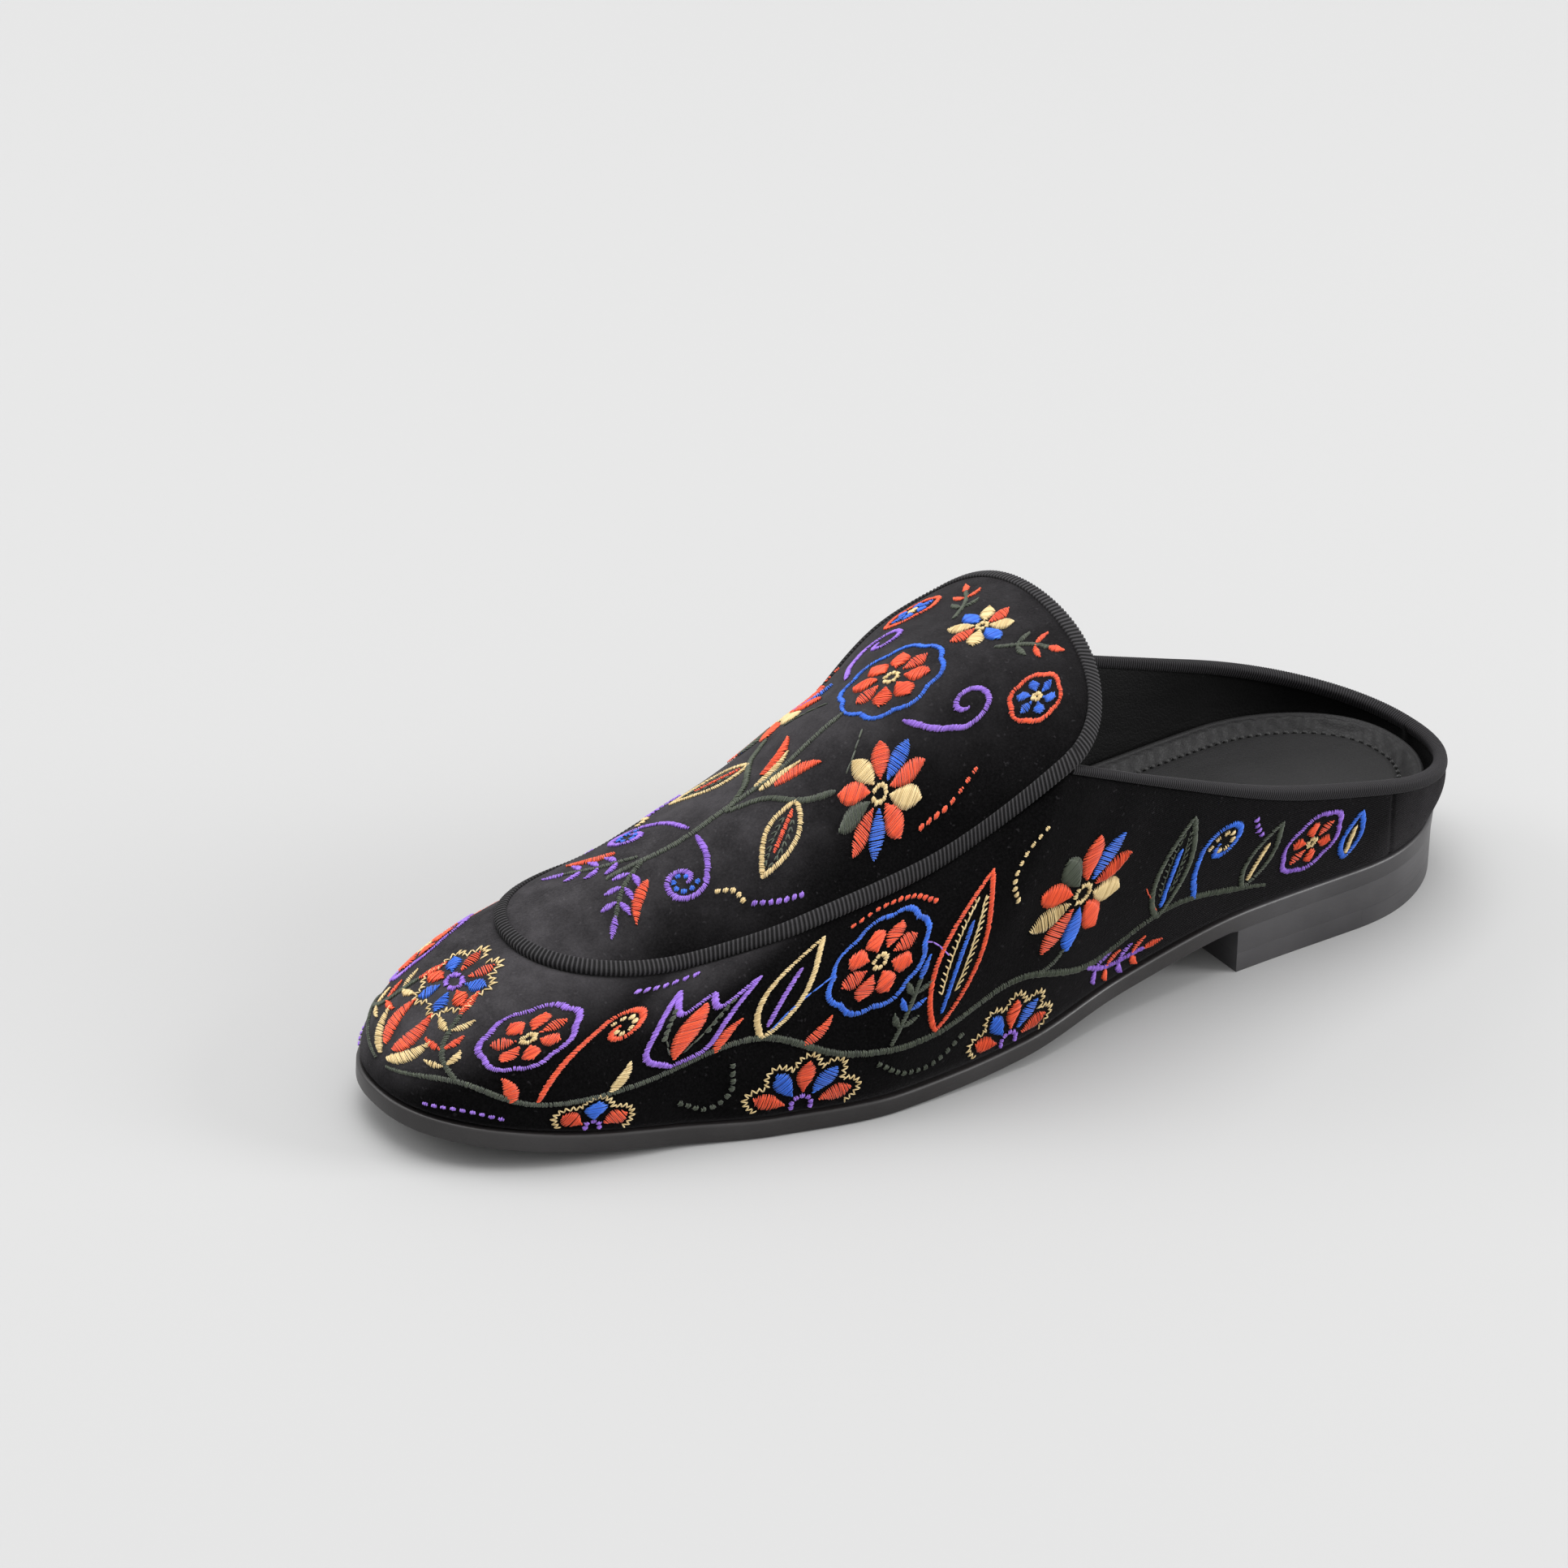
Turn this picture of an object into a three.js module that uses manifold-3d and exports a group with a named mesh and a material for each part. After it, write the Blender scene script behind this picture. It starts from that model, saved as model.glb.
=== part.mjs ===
// A slip-on mule, left shoe: a hollow upper with a raised apron and tongue, two ribbon bindings,
// a sock lining, a thin outsole and a stacked heel with two lifts and five nails.
// Millimetres. +X points to the toe, +Y to the outer side of the foot, +Z up from the floor.
import * as THREE from 'three';
import Module from 'manifold-3d';

const manifoldKit = await Module();
manifoldKit.setup();
const { Manifold, Mesh: ManifoldMesh } = manifoldKit;

// Driving sizes of the last and of the pieces
const LENGTH = 270; // outsole, heel to toe
const SOLE_THICKNESS = 4.3;
const HEEL_LENGTH = 0.284; // share of the length under which the heel stands
const HEEL_RAKE = 1.0; // how far the heel's foot lies behind its top
const LIFT_THICKNESS = 4.6;
const WALL = 2.0; // velvet, lining and the stiffener between them
const APRON_STEP = 0.8; // the apron lies on top of the side wall
const FEATHER_INSET = 0.6; // from the edge of the outsole to the foot of the upper
const SOCK = [
  { width: 1, height: 0 },
  { width: 0.982, height: 4.4 },
  { width: 0.955, height: 5.2 },
  { width: 0.8, height: 4.2 },
]; // sections of the sock lining, as shares of its width and heights: foot, rim and middle
const GAP = 0.3; // between pieces that meet along a curve

// Half-widths of the outsole seen from above; "at" runs from 0 at the heel to 1 at the toe
const SOLE_PLAN = [
  { at: 0.0, lateral: 28.0, medial: 29.3 },
  { at: 0.12, lateral: 31.6, medial: 29.8 },
  { at: 0.26, lateral: 32.8, medial: 27.6 },
  { at: 0.4, lateral: 35.5, medial: 25.0 },
  { at: 0.52, lateral: 41.2, medial: 29.5 },
  { at: 0.64, lateral: 42.2, medial: 38.0 },
  { at: 0.74, lateral: 37.5, medial: 40.5 },
  { at: 0.82, lateral: 32.8, medial: 39.6 },
  { at: 1.0, lateral: 31.4, medial: 37.0 },
];
const HEEL_ROUND = { share: 0.157, power: 2.2 };
const TOE_ROUND = { share: 0.307, power: 2.4 };

// Height of the outsole's underside: heel seat, arch, flat forefoot and toe spring
const SOLE_SIDE = [
  { at: 0.0, under: 11.4 },
  { at: 0.27, under: 10.7 },
  { at: 0.42, under: 5.7 },
  { at: 0.58, under: 0.6 },
  { at: 0.65, under: 0 },
  { at: 0.75, under: 0 },
  { at: 0.87, under: 2.2 },
  { at: 1.0, under: 6.9 },
];

// Top line of the opening, from the low back to the corner where it meets the apron
const COLLAR = [
  { at: -0.002, lateral: 28.5, medial: 29.8, height: 26.3 },
  { at: 0.12, lateral: 33.2, medial: 30.8, height: 35.0 },
  { at: 0.26, lateral: 35.1, medial: 33.6, height: 44.2 },
  { at: 0.38, lateral: 35.5, medial: 32.0, height: 55.4 },
  { at: 0.49, lateral: 36.6, medial: 29.6, height: 67.2 },
];
const COLLAR_ROUND = { share: 0.16, power: 2.2 };

// Edge of the apron: its free sides at the tongue, then the seam that runs round the toe
const SEAM = [
  { at: 0.42, lateral: 25.1, medial: 26.9, height: 76.1 },
  { at: 0.49, lateral: 36.6, medial: 29.6, height: 67.2 },
  { at: 0.6, lateral: 29.5, medial: 25.6, height: 47.1 },
  { at: 0.7, lateral: 26.2, medial: 24.4, height: 40.2 },
  { at: 0.79, lateral: 17.1, medial: 25.5, height: 33.0 },
  { at: 0.878, lateral: 16.8, medial: 27.6, height: 33.8 },
];
const SEAM_ROUND = { share: 0.112, power: 2.1 };

// Height of the apron's ridge over the instep and down to the toe
const RIDGE = [
  { at: 0.426, height: 86.0 },
  { at: 0.52, height: 80.7 },
  { at: 0.61, height: 70.0 },
  { at: 0.68, height: 57.8 },
  { at: 0.75, height: 47.9 },
  { at: 0.82, height: 40.2 },
  { at: 0.878, height: 33.8 },
];

// How the side wall is shaped: degrees it turns inwards, and how far it swells outwards
const WALL_SHAPE = [
  { at: -0.002, turn: 30, swell: 2.0 },
  { at: 0.2, turn: 30, swell: 1.5 },
  { at: 0.49, turn: 50, swell: 2.0 },
  { at: 0.7, turn: 55, swell: 0 },
  { at: 0.878, turn: 54, swell: 1.2 },
];

const BACK = COLLAR[0].at;
const CORNER = COLLAR.at(-1).at;
const FRONT = SEAM.at(-1).at;
const TONGUE = { end: RIDGE[0].at, squareness: 4.0 };
const APRON_CROWN = THREE.MathUtils.degToRad(45);

// A smooth curve through one column of a table; its slopes never overshoot the rows
function curve(rows, column) {
  const value = (i) => rows[i][column];
  const rise = (i) => (value(i + 1) - value(i)) / (rows[i + 1].at - rows[i].at);
  const last = rows.length - 1;
  const slope = rows.map((_, i) => {
    if (i === 0) return rise(0);
    if (i === last) return rise(last - 1);
    const product = rise(i - 1) * rise(i);
    return product <= 0 ? 0 : (2 * product) / (rise(i - 1) + rise(i));
  });
  return (at) => {
    let i = 0;
    while (i < last - 1 && at > rows[i + 1].at) i += 1;
    const span = rows[i + 1].at - rows[i].at;
    const u = (at - rows[i].at) / span;
    const v = 1 - u;
    return (
      (1 + 2 * u) * v * v * value(i) +
      u * v * v * span * slope[i] +
      u * u * (3 - 2 * u) * value(i + 1) -
      u * u * v * span * slope[i + 1]
    );
  };
}

// Share of the full width that is left near a rounded end of an outline
function roundEnd(distance, { share, power }) {
  const left = THREE.MathUtils.clamp(1 - distance / share, 0, 1);
  return (1 - left ** power) ** (1 / power);
}

const solePlan = { lateral: curve(SOLE_PLAN, 'lateral'), medial: curve(SOLE_PLAN, 'medial') };
const collar = {
  lateral: curve(COLLAR, 'lateral'),
  medial: curve(COLLAR, 'medial'),
  height: curve(COLLAR, 'height'),
};
const seam = {
  lateral: curve(SEAM, 'lateral'),
  medial: curve(SEAM, 'medial'),
  height: curve(SEAM, 'height'),
};
const wallTurn = curve(WALL_SHAPE, 'turn');
const wallSwell = curve(WALL_SHAPE, 'swell');
const underside = curve(SOLE_SIDE, 'under');
const ridgeHeight = curve(RIDGE, 'height');
const stationX = (at) => (at - 0.5) * LENGTH;

// The point of an outline on one side (+1 lateral, -1 medial), as [centre line, half-width]
function spread(plan, at, share) {
  const centre = (plan.lateral(at) - plan.medial(at)) / 2;
  const half = ((plan.lateral(at) + plan.medial(at)) / 2) * share;
  return [centre, half];
}

function soleEdge(at, side, inset, z) {
  const share = roundEnd(at, HEEL_ROUND) * roundEnd(1 - at, TOE_ROUND);
  const [centre, half] = spread(solePlan, at, share);
  const x = stationX(at) * (1 - (2 * inset) / LENGTH);
  return new THREE.Vector3(x, centre + side * Math.max(half - inset, 0), z);
}

function collarEdge(at, side) {
  const [centre, half] = spread(collar, at, roundEnd(at - BACK, COLLAR_ROUND));
  return new THREE.Vector3(stationX(at), centre + side * half, collar.height(at));
}

function seamEdge(at, side) {
  const [centre, half] = spread(seam, at, roundEnd(FRONT - at, SEAM_ROUND));
  return new THREE.Vector3(stationX(at), centre + side * half, seam.height(at));
}

// Foot of the upper on the outsole, under the point of the top line at the same share of the way
function featherPoint(at, side) {
  const under = THREE.MathUtils.clamp((at - BACK) / (FRONT - BACK), 0, 1);
  return soleEdge(under, side, FEATHER_INSET, underside(under) + SOLE_THICKNESS + GAP);
}

// Side wall: an arc that leaves the sole upright and turns in to the top line, rise 0 to 1
function wallPoint(at, side, rise) {
  const foot = featherPoint(at, side);
  const top = at < CORNER ? collarEdge(at, side) : seamEdge(at, side);
  const turn = THREE.MathUtils.degToRad(wallTurn(at));
  const inward = (1 - Math.cos(turn * rise)) / (1 - Math.cos(turn));
  const upward = Math.sin(turn * rise) / Math.sin(turn);
  const step = 0.002;
  const along = featherPoint(Math.min(at + step, FRONT), side);
  along.sub(featherPoint(Math.max(at - step, BACK), side));
  const outward = new THREE.Vector3(-along.y * side, along.x * side, 0).normalize();
  return new THREE.Vector3(
    THREE.MathUtils.lerp(foot.x, top.x, inward),
    THREE.MathUtils.lerp(foot.y, top.y, inward),
    THREE.MathUtils.lerp(foot.z, top.z, upward),
  ).addScaledVector(outward, wallSwell(at) * Math.sin(Math.PI * rise));
}

// Height of the apron over a point of the plan: an arc from the ridge down to the edge
function apronHeight(x, y) {
  const at = x / LENGTH + 0.5;
  const [centre, half] = spread(seam, at, roundEnd(FRONT - at, SEAM_ROUND));
  const sideways = Math.min(Math.abs(y - centre) / Math.max(half, 1e-6), 1.3);
  const angle = Math.asin(sideways * Math.sin(APRON_CROWN));
  const drop = (1 - Math.cos(angle)) / (1 - Math.cos(APRON_CROWN));
  return THREE.MathUtils.lerp(ridgeHeight(at), seam.height(at), drop);
}

// Apron: along 0 at the tongue's free end to 1 at the toe, across +1 lateral to -1 medial
function apronPoint(along, across) {
  const reach = Math.abs(across);
  const rounding = 1 - (1 - reach ** TONGUE.squareness) ** (1 / TONGUE.squareness);
  const start = THREE.MathUtils.lerp(TONGUE.end, CORNER, rounding);
  const at = THREE.MathUtils.lerp(start, FRONT, along);
  const [centre, half] = spread(seam, at, roundEnd(FRONT - at, SEAM_ROUND));
  const sideways = Math.sin(APRON_CROWN * across) / Math.sin(APRON_CROWN);
  const [x, y] = [stationX(at), centre + half * sideways];
  return new THREE.Vector3(x, y, apronHeight(x, y));
}

// Even steps from 0 to 1, and steps that crowd together at both ends
const even = (count) => Array.from({ length: count + 1 }, (_, i) => i / count);
const eased = (count) => even(count).map((s) => (1 - Math.cos(Math.PI * s)) / 2);

// A closed mesh from a list of points and of triangles, turned right side out
function closedGeometry(points, triangles) {
  let volume = 0;
  for (const [a, b, c] of triangles) {
    volume += points[a].dot(new THREE.Vector3().crossVectors(points[b], points[c]));
  }
  const outward = volume > 0 ? triangles : triangles.map(([a, b, c]) => [a, c, b]);
  const geometry = new THREE.BufferGeometry().setFromPoints(points);
  geometry.setIndex(outward.flat());
  geometry.computeVertexNormals();
  return geometry;
}

const quad = (a, b, c, d) => [
  [a, b, c],
  [a, c, d],
];

// A closed loop of sections of equal size, or an open run with its two ends filled
function sweep(sections, isLoop) {
  const size = sections[0].length;
  const triangles = [];
  const runs = isLoop ? sections.length : sections.length - 1;
  for (let i = 0; i < runs; i += 1) {
    const here = i * size;
    const next = ((i + 1) % sections.length) * size;
    for (let j = 0; j < size; j += 1) {
      const k = (j + 1) % size;
      triangles.push(...quad(here + j, next + j, next + k, here + k));
    }
  }
  if (!isLoop) {
    const flat = (section) => {
      const across = new THREE.Vector3().subVectors(section[1], section[0]).normalize();
      const normal = new THREE.Vector3();
      section.forEach((p, j) => normal.add(new THREE.Vector3().crossVectors(p, section[(j + 1) % size])));
      const up = new THREE.Vector3().crossVectors(normal.normalize(), across);
      return section.map((p) => new THREE.Vector2(p.dot(across), p.dot(up)));
    };
    const end = (sections.length - 1) * size;
    for (const [a, b, c] of THREE.ShapeUtils.triangulateShape(flat(sections[0]), [])) {
      triangles.push([a, b, c]);
    }
    for (const [a, b, c] of THREE.ShapeUtils.triangulateShape(flat(sections.at(-1)), [])) {
      triangles.push([end + a, end + c, end + b]);
    }
  }
  return closedGeometry(sections.flat(), triangles);
}

// A slab over the sole's plan between two stations: layers of an outline, bottom to top
function slab(stations, layers) {
  const lateral = stations.map((at) => ({ at, side: 1 }));
  const medial = stations.map((at) => ({ at, side: -1 })).reverse();
  const pointed = (at) => at === 0 || at === 1;
  const round = [...lateral, ...medial.filter(({ at }) => !pointed(at))];
  const size = round.length;
  const points = layers.flatMap((layer) => round.map(({ at, side }) => layer(at, side)));
  const triangles = [];
  for (let k = 0; k < layers.length - 1; k += 1) {
    for (let i = 0; i < size; i += 1) {
      const j = (i + 1) % size;
      triangles.push(...quad(k * size + i, k * size + j, (k + 1) * size + j, (k + 1) * size + i));
    }
  }
  const partner = (i) => {
    const { at } = lateral[i];
    return pointed(at) ? i : round.findIndex((p) => p.at === at && p.side === -1);
  };
  const top = (layers.length - 1) * size;
  for (let i = 0; i < lateral.length - 1; i += 1) {
    const corners = [i, i + 1, partner(i + 1), partner(i)];
    const faces = quad(...corners).filter(([a, b, c]) => a !== b && b !== c && a !== c);
    for (const [a, b, c] of faces) {
      triangles.push([a, c, b], [top + a, top + b, top + c]);
    }
  }
  return closedGeometry(points, triangles);
}

// Upper: side wall and apron as one outer skin, the same skin set in by the wall, and their rims
function upperGeometry() {
  const WALL_ROWS = 9;
  const BACK_STATIONS = 20;
  const FRONT_STATIONS = 26;
  const APRON_COLUMNS = 16;
  const backRun = eased(2 * BACK_STATIONS).slice(0, BACK_STATIONS + 1);
  const backStations = backRun.map((s) => BACK + (CORNER - BACK) * (s / backRun.at(-1)));
  const frontRun = even(FRONT_STATIONS).map((s) => Math.sin((Math.PI / 2) * s));
  const frontStations = frontRun.slice(1).map((s) => CORNER + (FRONT - CORNER) * s);
  const stations = [...backStations, ...frontStations];
  const count = stations.length;
  const round = [
    ...stations.map((at, i) => ({ at, i, side: 1 })),
    ...stations.map((at, i) => ({ at, i, side: -1 })).slice(1, count - 1).reverse(),
  ];
  const skin = [];
  const wallIndex = (k, row) => (k % round.length) * (WALL_ROWS + 1) + row;
  for (const { at, side } of round) {
    for (let row = 0; row <= WALL_ROWS; row += 1) {
      skin.push(wallPoint(at, side, row / WALL_ROWS));
    }
  }
  // The apron shares the wall's top points along the seam; only its inside is new
  const columnOf = (i, side) => (side > 0 ? i : 2 * (count - 1) - i);
  const apronStart = skin.length;
  const acrossOf = (column) => Math.sin((Math.PI / 2) * (1 - (2 * column) / APRON_COLUMNS));
  for (let i = 0; i < FRONT_STATIONS; i += 1) {
    for (let column = 1; column < APRON_COLUMNS; column += 1) {
      skin.push(apronPoint(frontRun[i], acrossOf(column)));
    }
  }
  const apronIndex = (i, column) => {
    const station = BACK_STATIONS + i;
    if (i === FRONT_STATIONS) return wallIndex(count - 1, WALL_ROWS);
    if (column === 0) return wallIndex(columnOf(station, 1), WALL_ROWS);
    if (column === APRON_COLUMNS) return wallIndex(columnOf(station, -1), WALL_ROWS);
    return apronStart + i * (APRON_COLUMNS - 1) + column - 1;
  };
  const wallFaces = [];
  for (let k = 0; k < round.length; k += 1) {
    for (let row = 0; row < WALL_ROWS; row += 1) {
      wallFaces.push(
        ...quad(wallIndex(k, row), wallIndex(k + 1, row), wallIndex(k + 1, row + 1), wallIndex(k, row + 1)),
      );
    }
  }
  const apronFaces = [];
  for (let i = 0; i < FRONT_STATIONS; i += 1) {
    for (let column = 0; column < APRON_COLUMNS; column += 1) {
      const corners = [
        apronIndex(i, column),
        apronIndex(i + 1, column),
        apronIndex(i + 1, column + 1),
        apronIndex(i, column + 1),
      ];
      apronFaces.push(...quad(...corners).filter(([a, b, c]) => a !== b && b !== c && a !== c));
    }
  }
  // Normals of the joined skin, pointing out of the shoe
  const base = new THREE.BufferGeometry().setFromPoints(skin);
  base.setIndex([...wallFaces, ...apronFaces].flat());
  base.computeVertexNormals();
  const normals = base.getAttribute('normal');
  const side = wallIndex(Math.floor(BACK_STATIONS / 2), 4);
  const sign = Math.sign(normals.getY(side)) || 1;
  const normal = (i) => new THREE.Vector3().fromBufferAttribute(normals, i).multiplyScalar(sign);
  const points = skin.map((p) => p.clone());
  const inner = (i) => skin.length + i;
  skin.forEach((p, i) => {
    const set = normal(i);
    const isFoot = i < apronStart && i % (WALL_ROWS + 1) === 0;
    if (isFoot) set.setZ(0).normalize();
    points.push(p.clone().addScaledVector(set, -WALL));
  });
  // The apron's outer face is raised by its step; its edge along the seam is a second set of points
  const raised = new Map();
  const lift = (i) => {
    if (!raised.has(i)) {
      raised.set(i, points.length);
      points.push(skin[i].clone().addScaledVector(normal(i), APRON_STEP));
    }
    return raised.get(i);
  };
  const triangles = [
    ...wallFaces,
    ...[...wallFaces, ...apronFaces].map(([a, b, c]) => [inner(a), inner(c), inner(b)]),
    ...apronFaces.map((face) => face.map(lift)),
  ];
  // Rims: the foot, the collar, the riser at the seam and the tongue's free edge
  for (let k = 0; k < round.length; k += 1) {
    const [foot, nextFoot] = [wallIndex(k, 0), wallIndex(k + 1, 0)];
    triangles.push(...quad(foot, inner(foot), inner(nextFoot), nextFoot));
    const [top, nextTop] = [wallIndex(k, WALL_ROWS), wallIndex(k + 1, WALL_ROWS)];
    const isSeam = Math.min(round[k].at, round[(k + 1) % round.length].at) >= CORNER - 1e-9;
    if (isSeam) triangles.push(...quad(top, nextTop, lift(nextTop), lift(top)));
    else triangles.push(...quad(top, nextTop, inner(nextTop), inner(top)));
  }
  for (let column = 0; column < APRON_COLUMNS; column += 1) {
    const [a, b] = [apronIndex(0, column), apronIndex(0, column + 1)];
    triangles.push(...quad(lift(a), lift(b), inner(b), inner(a)));
  }
  const [outerCorner, innerCorner] = [apronIndex(0, 0), apronIndex(0, APRON_COLUMNS)];
  triangles.push([outerCorner, lift(outerCorner), inner(outerCorner)]);
  triangles.push([innerCorner, inner(innerCorner), lift(innerCorner)]);
  return closedGeometry(points, triangles);
}

// Ribbon round the apron's edge: seam on both sides, toe and the tongue's free end, in one loop
function apronBindingGeometry() {
  const OVERHANG = 0.5;
  const WIDTH = 4.0;
  const THICKNESS = 0.8;
  const edge = [
    ...even(34).map((s) => apronPoint(Math.sin((Math.PI / 2) * s), 1)),
    ...even(34).map((s) => apronPoint(Math.cos((Math.PI / 2) * s), -1)).slice(1),
    ...even(30).map((s) => apronPoint(0, -Math.cos(Math.PI * s))).slice(1, 30),
  ];
  const onApron = (x, y) => new THREE.Vector3(x, y, apronHeight(x, y));
  const normalAt = (x, y) => {
    const step = 0.4;
    const slopeX = (apronHeight(x + step, y) - apronHeight(x - step, y)) / (2 * step);
    const slopeY = (apronHeight(x, y + step) - apronHeight(x, y - step)) / (2 * step);
    return new THREE.Vector3(-slopeX, -slopeY, 1).normalize();
  };
  const sections = edge.map((p, i) => {
    const before = edge[(i + edge.length - 1) % edge.length];
    const after = edge[(i + 1) % edge.length];
    const forward = new THREE.Vector2(after.x - before.x, after.y - before.y).normalize();
    const inward = new THREE.Vector2(-forward.y, forward.x).negate();
    const inside = (distance) => onApron(p.x + inward.x * distance, p.y + inward.y * distance);
    const steep = inside(2).distanceTo(inside(0.5)) / 1.5;
    const inner = inside((WIDTH - OVERHANG) / steep);
    const middle = inside((WIDTH / 2 - OVERHANG) / steep);
    const start = inside(0.5);
    const up = normalAt(start.x, start.y);
    const innerUp = normalAt(inner.x, inner.y);
    const middleUp = normalAt(middle.x, middle.y);
    const outer = p.clone().addScaledVector(middle.clone().sub(p).normalize(), -OVERHANG);
    const low = APRON_STEP + 1.6 * GAP;
    return [
      outer.clone().addScaledVector(up, low),
      middle.clone().addScaledVector(middleUp, low),
      inner.clone().addScaledVector(innerUp, low),
      inner.clone().addScaledVector(innerUp, low + THICKNESS * 0.5),
      middle.clone().addScaledVector(middleUp, low + THICKNESS),
      outer.clone().addScaledVector(up, low + THICKNESS * 0.6),
    ];
  });
  return sweep(sections, true);
}

// Ribbon folded over the collar: a channel that straddles the rim from one corner to the other
function collarBindingGeometry() {
  const DEPTH = 3.3;
  const THICKNESS = 0.6;
  const room = GAP + 0.25; // the wall curves a little inside the channel
  const END = 0.018; // share of the length left free at the corner
  const run = eased(60).map((s) => s * 2 - 1);
  const sections = run.map((s) => {
    const side = s < 0 ? -1 : 1;
    const at = BACK + (CORNER - END - BACK) * Math.sin((Math.PI / 2) * Math.abs(s)) ** 2;
    const top = wallPoint(at, side, 1);
    const down = new THREE.Vector3().subVectors(wallPoint(at, side, 0.86), top).normalize();
    const step = 0.004;
    const ahead = wallPoint(Math.min(at + step, CORNER - 1e-6), side, 1);
    const behind = wallPoint(Math.max(at - step, BACK), side, 1);
    const along = at - BACK < step ? new THREE.Vector3(0, -1, 0) : ahead.sub(behind).multiplyScalar(-side);
    const out = new THREE.Vector3().crossVectors(along, down).normalize();
    const away = new THREE.Vector3(top.x - stationX(0.25), top.y, 0);
    if (out.dot(away) < 0) out.negate();
    const corner = (outward, drop) =>
      top.clone().addScaledVector(out, outward).addScaledVector(down, drop);
    const outer = room + THICKNESS;
    const inside = -WALL - room;
    return [
      corner(outer, DEPTH),
      corner(outer, -room),
      corner(room, -room - THICKNESS),
      corner(inside, -room - THICKNESS),
      corner(inside - THICKNESS, -room),
      corner(inside - THICKNESS, DEPTH),
      corner(inside, DEPTH),
      corner(inside, -room),
      corner(room, -room),
      corner(room, DEPTH),
    ];
  });
  return sweep(sections, false);
}

// Outsole: its full plan between the underside and a parallel top, with eased edges
function outsoleGeometry() {
  const EASE = 0.7;
  const layer = (inset, height) => (at, side) => soleEdge(at, side, inset, underside(at) + height);
  return slab(eased(56), [
    layer(EASE, 0),
    layer(0, EASE),
    layer(0, SOLE_THICKNESS - EASE),
    layer(EASE, SOLE_THICKNESS),
  ]);
}

// Sock lining on the outsole, inside the foot of the upper: its rim leans in with the wall, its middle is dished
function sockLiningGeometry() {
  const inset = FEATHER_INSET + WALL + 2 * GAP;
  const low = SOLE_THICKNESS + GAP;
  const layer = (width, height) => (at, side) => {
    const p = soleEdge(at, side, inset, underside(at) + low + height);
    const [centre] = spread(solePlan, at, 1);
    p.y = THREE.MathUtils.lerp(centre, p.y, width);
    p.x *= 1 - (1 - width) / 4;
    return p;
  };
  return slab(eased(44), SOCK.map(({ width, height }) => layer(width, height)));
}

// A layer of the heel between two stations, raked backwards towards the floor
function heelLayer(from, to, low, high) {
  const rake = (z) => HEEL_RAKE * (1 - z / SOLE_SIDE[0].under);
  const layer = (height) => (at, side) => {
    const z = height(at);
    const p = soleEdge(at, side, 0.2, z);
    p.x -= rake(z);
    return p;
  };
  const run = eased(2 * 16).slice(0, 17);
  const rounded = run.map((s) => (to * s) / run.at(-1));
  const plain = even(8).map((s) => from + (to - from) * s);
  return slab(from === 0 ? rounded : plain, [layer(low), layer(high)]);
}

const LIFT_SPLIT = HEEL_LENGTH * 0.52; // rubber behind, smooth piece in front
const heelBlockGeometry = () =>
  heelLayer(0, HEEL_LENGTH, () => LIFT_THICKNESS + GAP, (at) => underside(at) - GAP);
const rearLiftGeometry = () => heelLayer(0, LIFT_SPLIT, () => 0, () => LIFT_THICKNESS);

// Nails in the front lift: a bow of five, two near the breast
const NAIL = { radius: 1.0, length: 3.2, recess: 0.2 };
const NAILS = [
  { at: 0.262, across: 20 },
  { at: 0.262, across: -16 },
  { at: 0.2, across: 24 },
  { at: 0.2, across: -21 },
  { at: 0.182, across: 1 },
];

function nailGeometry({ at, across }, clearance) {
  const height = NAIL.length + (clearance ? 2 : 0);
  const geometry = new THREE.CylinderGeometry(NAIL.radius + clearance, NAIL.radius + clearance, height, 16);
  geometry.rotateX(Math.PI / 2);
  const low = clearance ? NAIL.recess - 2 + clearance : NAIL.recess;
  geometry.translate(stationX(at), across, low + height / 2);
  return geometry;
}

// The two forms of a closed mesh: three.js geometry and a manifold for the cut
function toManifold(geometry) {
  const points = [];
  const places = new Map();
  const position = geometry.getAttribute('position');
  const index = geometry.getIndex();
  const corners = [];
  for (let i = 0; i < index.count; i += 1) {
    const p = new THREE.Vector3().fromBufferAttribute(position, index.getX(i));
    const key = p.toArray().map((v) => v.toFixed(5)).join(' ');
    if (!places.has(key)) {
      places.set(key, places.size);
      points.push(...p.toArray());
    }
    corners.push(places.get(key));
  }
  const triangles = [];
  for (let i = 0; i < corners.length; i += 3) {
    const [a, b, c] = corners.slice(i, i + 3);
    if (a !== b && b !== c && a !== c) triangles.push(a, b, c);
  }
  const mesh = new ManifoldMesh({
    numProp: 3,
    vertProperties: Float32Array.from(points),
    triVerts: Uint32Array.from(triangles),
  });
  return new Manifold(mesh);
}

function fromManifold(solid) {
  const mesh = solid.getMesh();
  const geometry = new THREE.BufferGeometry();
  geometry.setAttribute('position', new THREE.BufferAttribute(mesh.vertProperties, 3));
  geometry.setIndex(new THREE.BufferAttribute(mesh.triVerts, 1));
  geometry.computeVertexNormals();
  return geometry;
}

// Front lift with a hole for each nail
function frontLiftGeometry() {
  const seatGap = GAP / LENGTH;
  const lift = heelLayer(LIFT_SPLIT + seatGap, HEEL_LENGTH, () => 0, () => LIFT_THICKNESS);
  const holes = NAILS.map((nail) => toManifold(nailGeometry(nail, GAP)));
  return fromManifold(holes.reduce((solid, hole) => solid.subtract(hole), toManifold(lift)));
}

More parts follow.
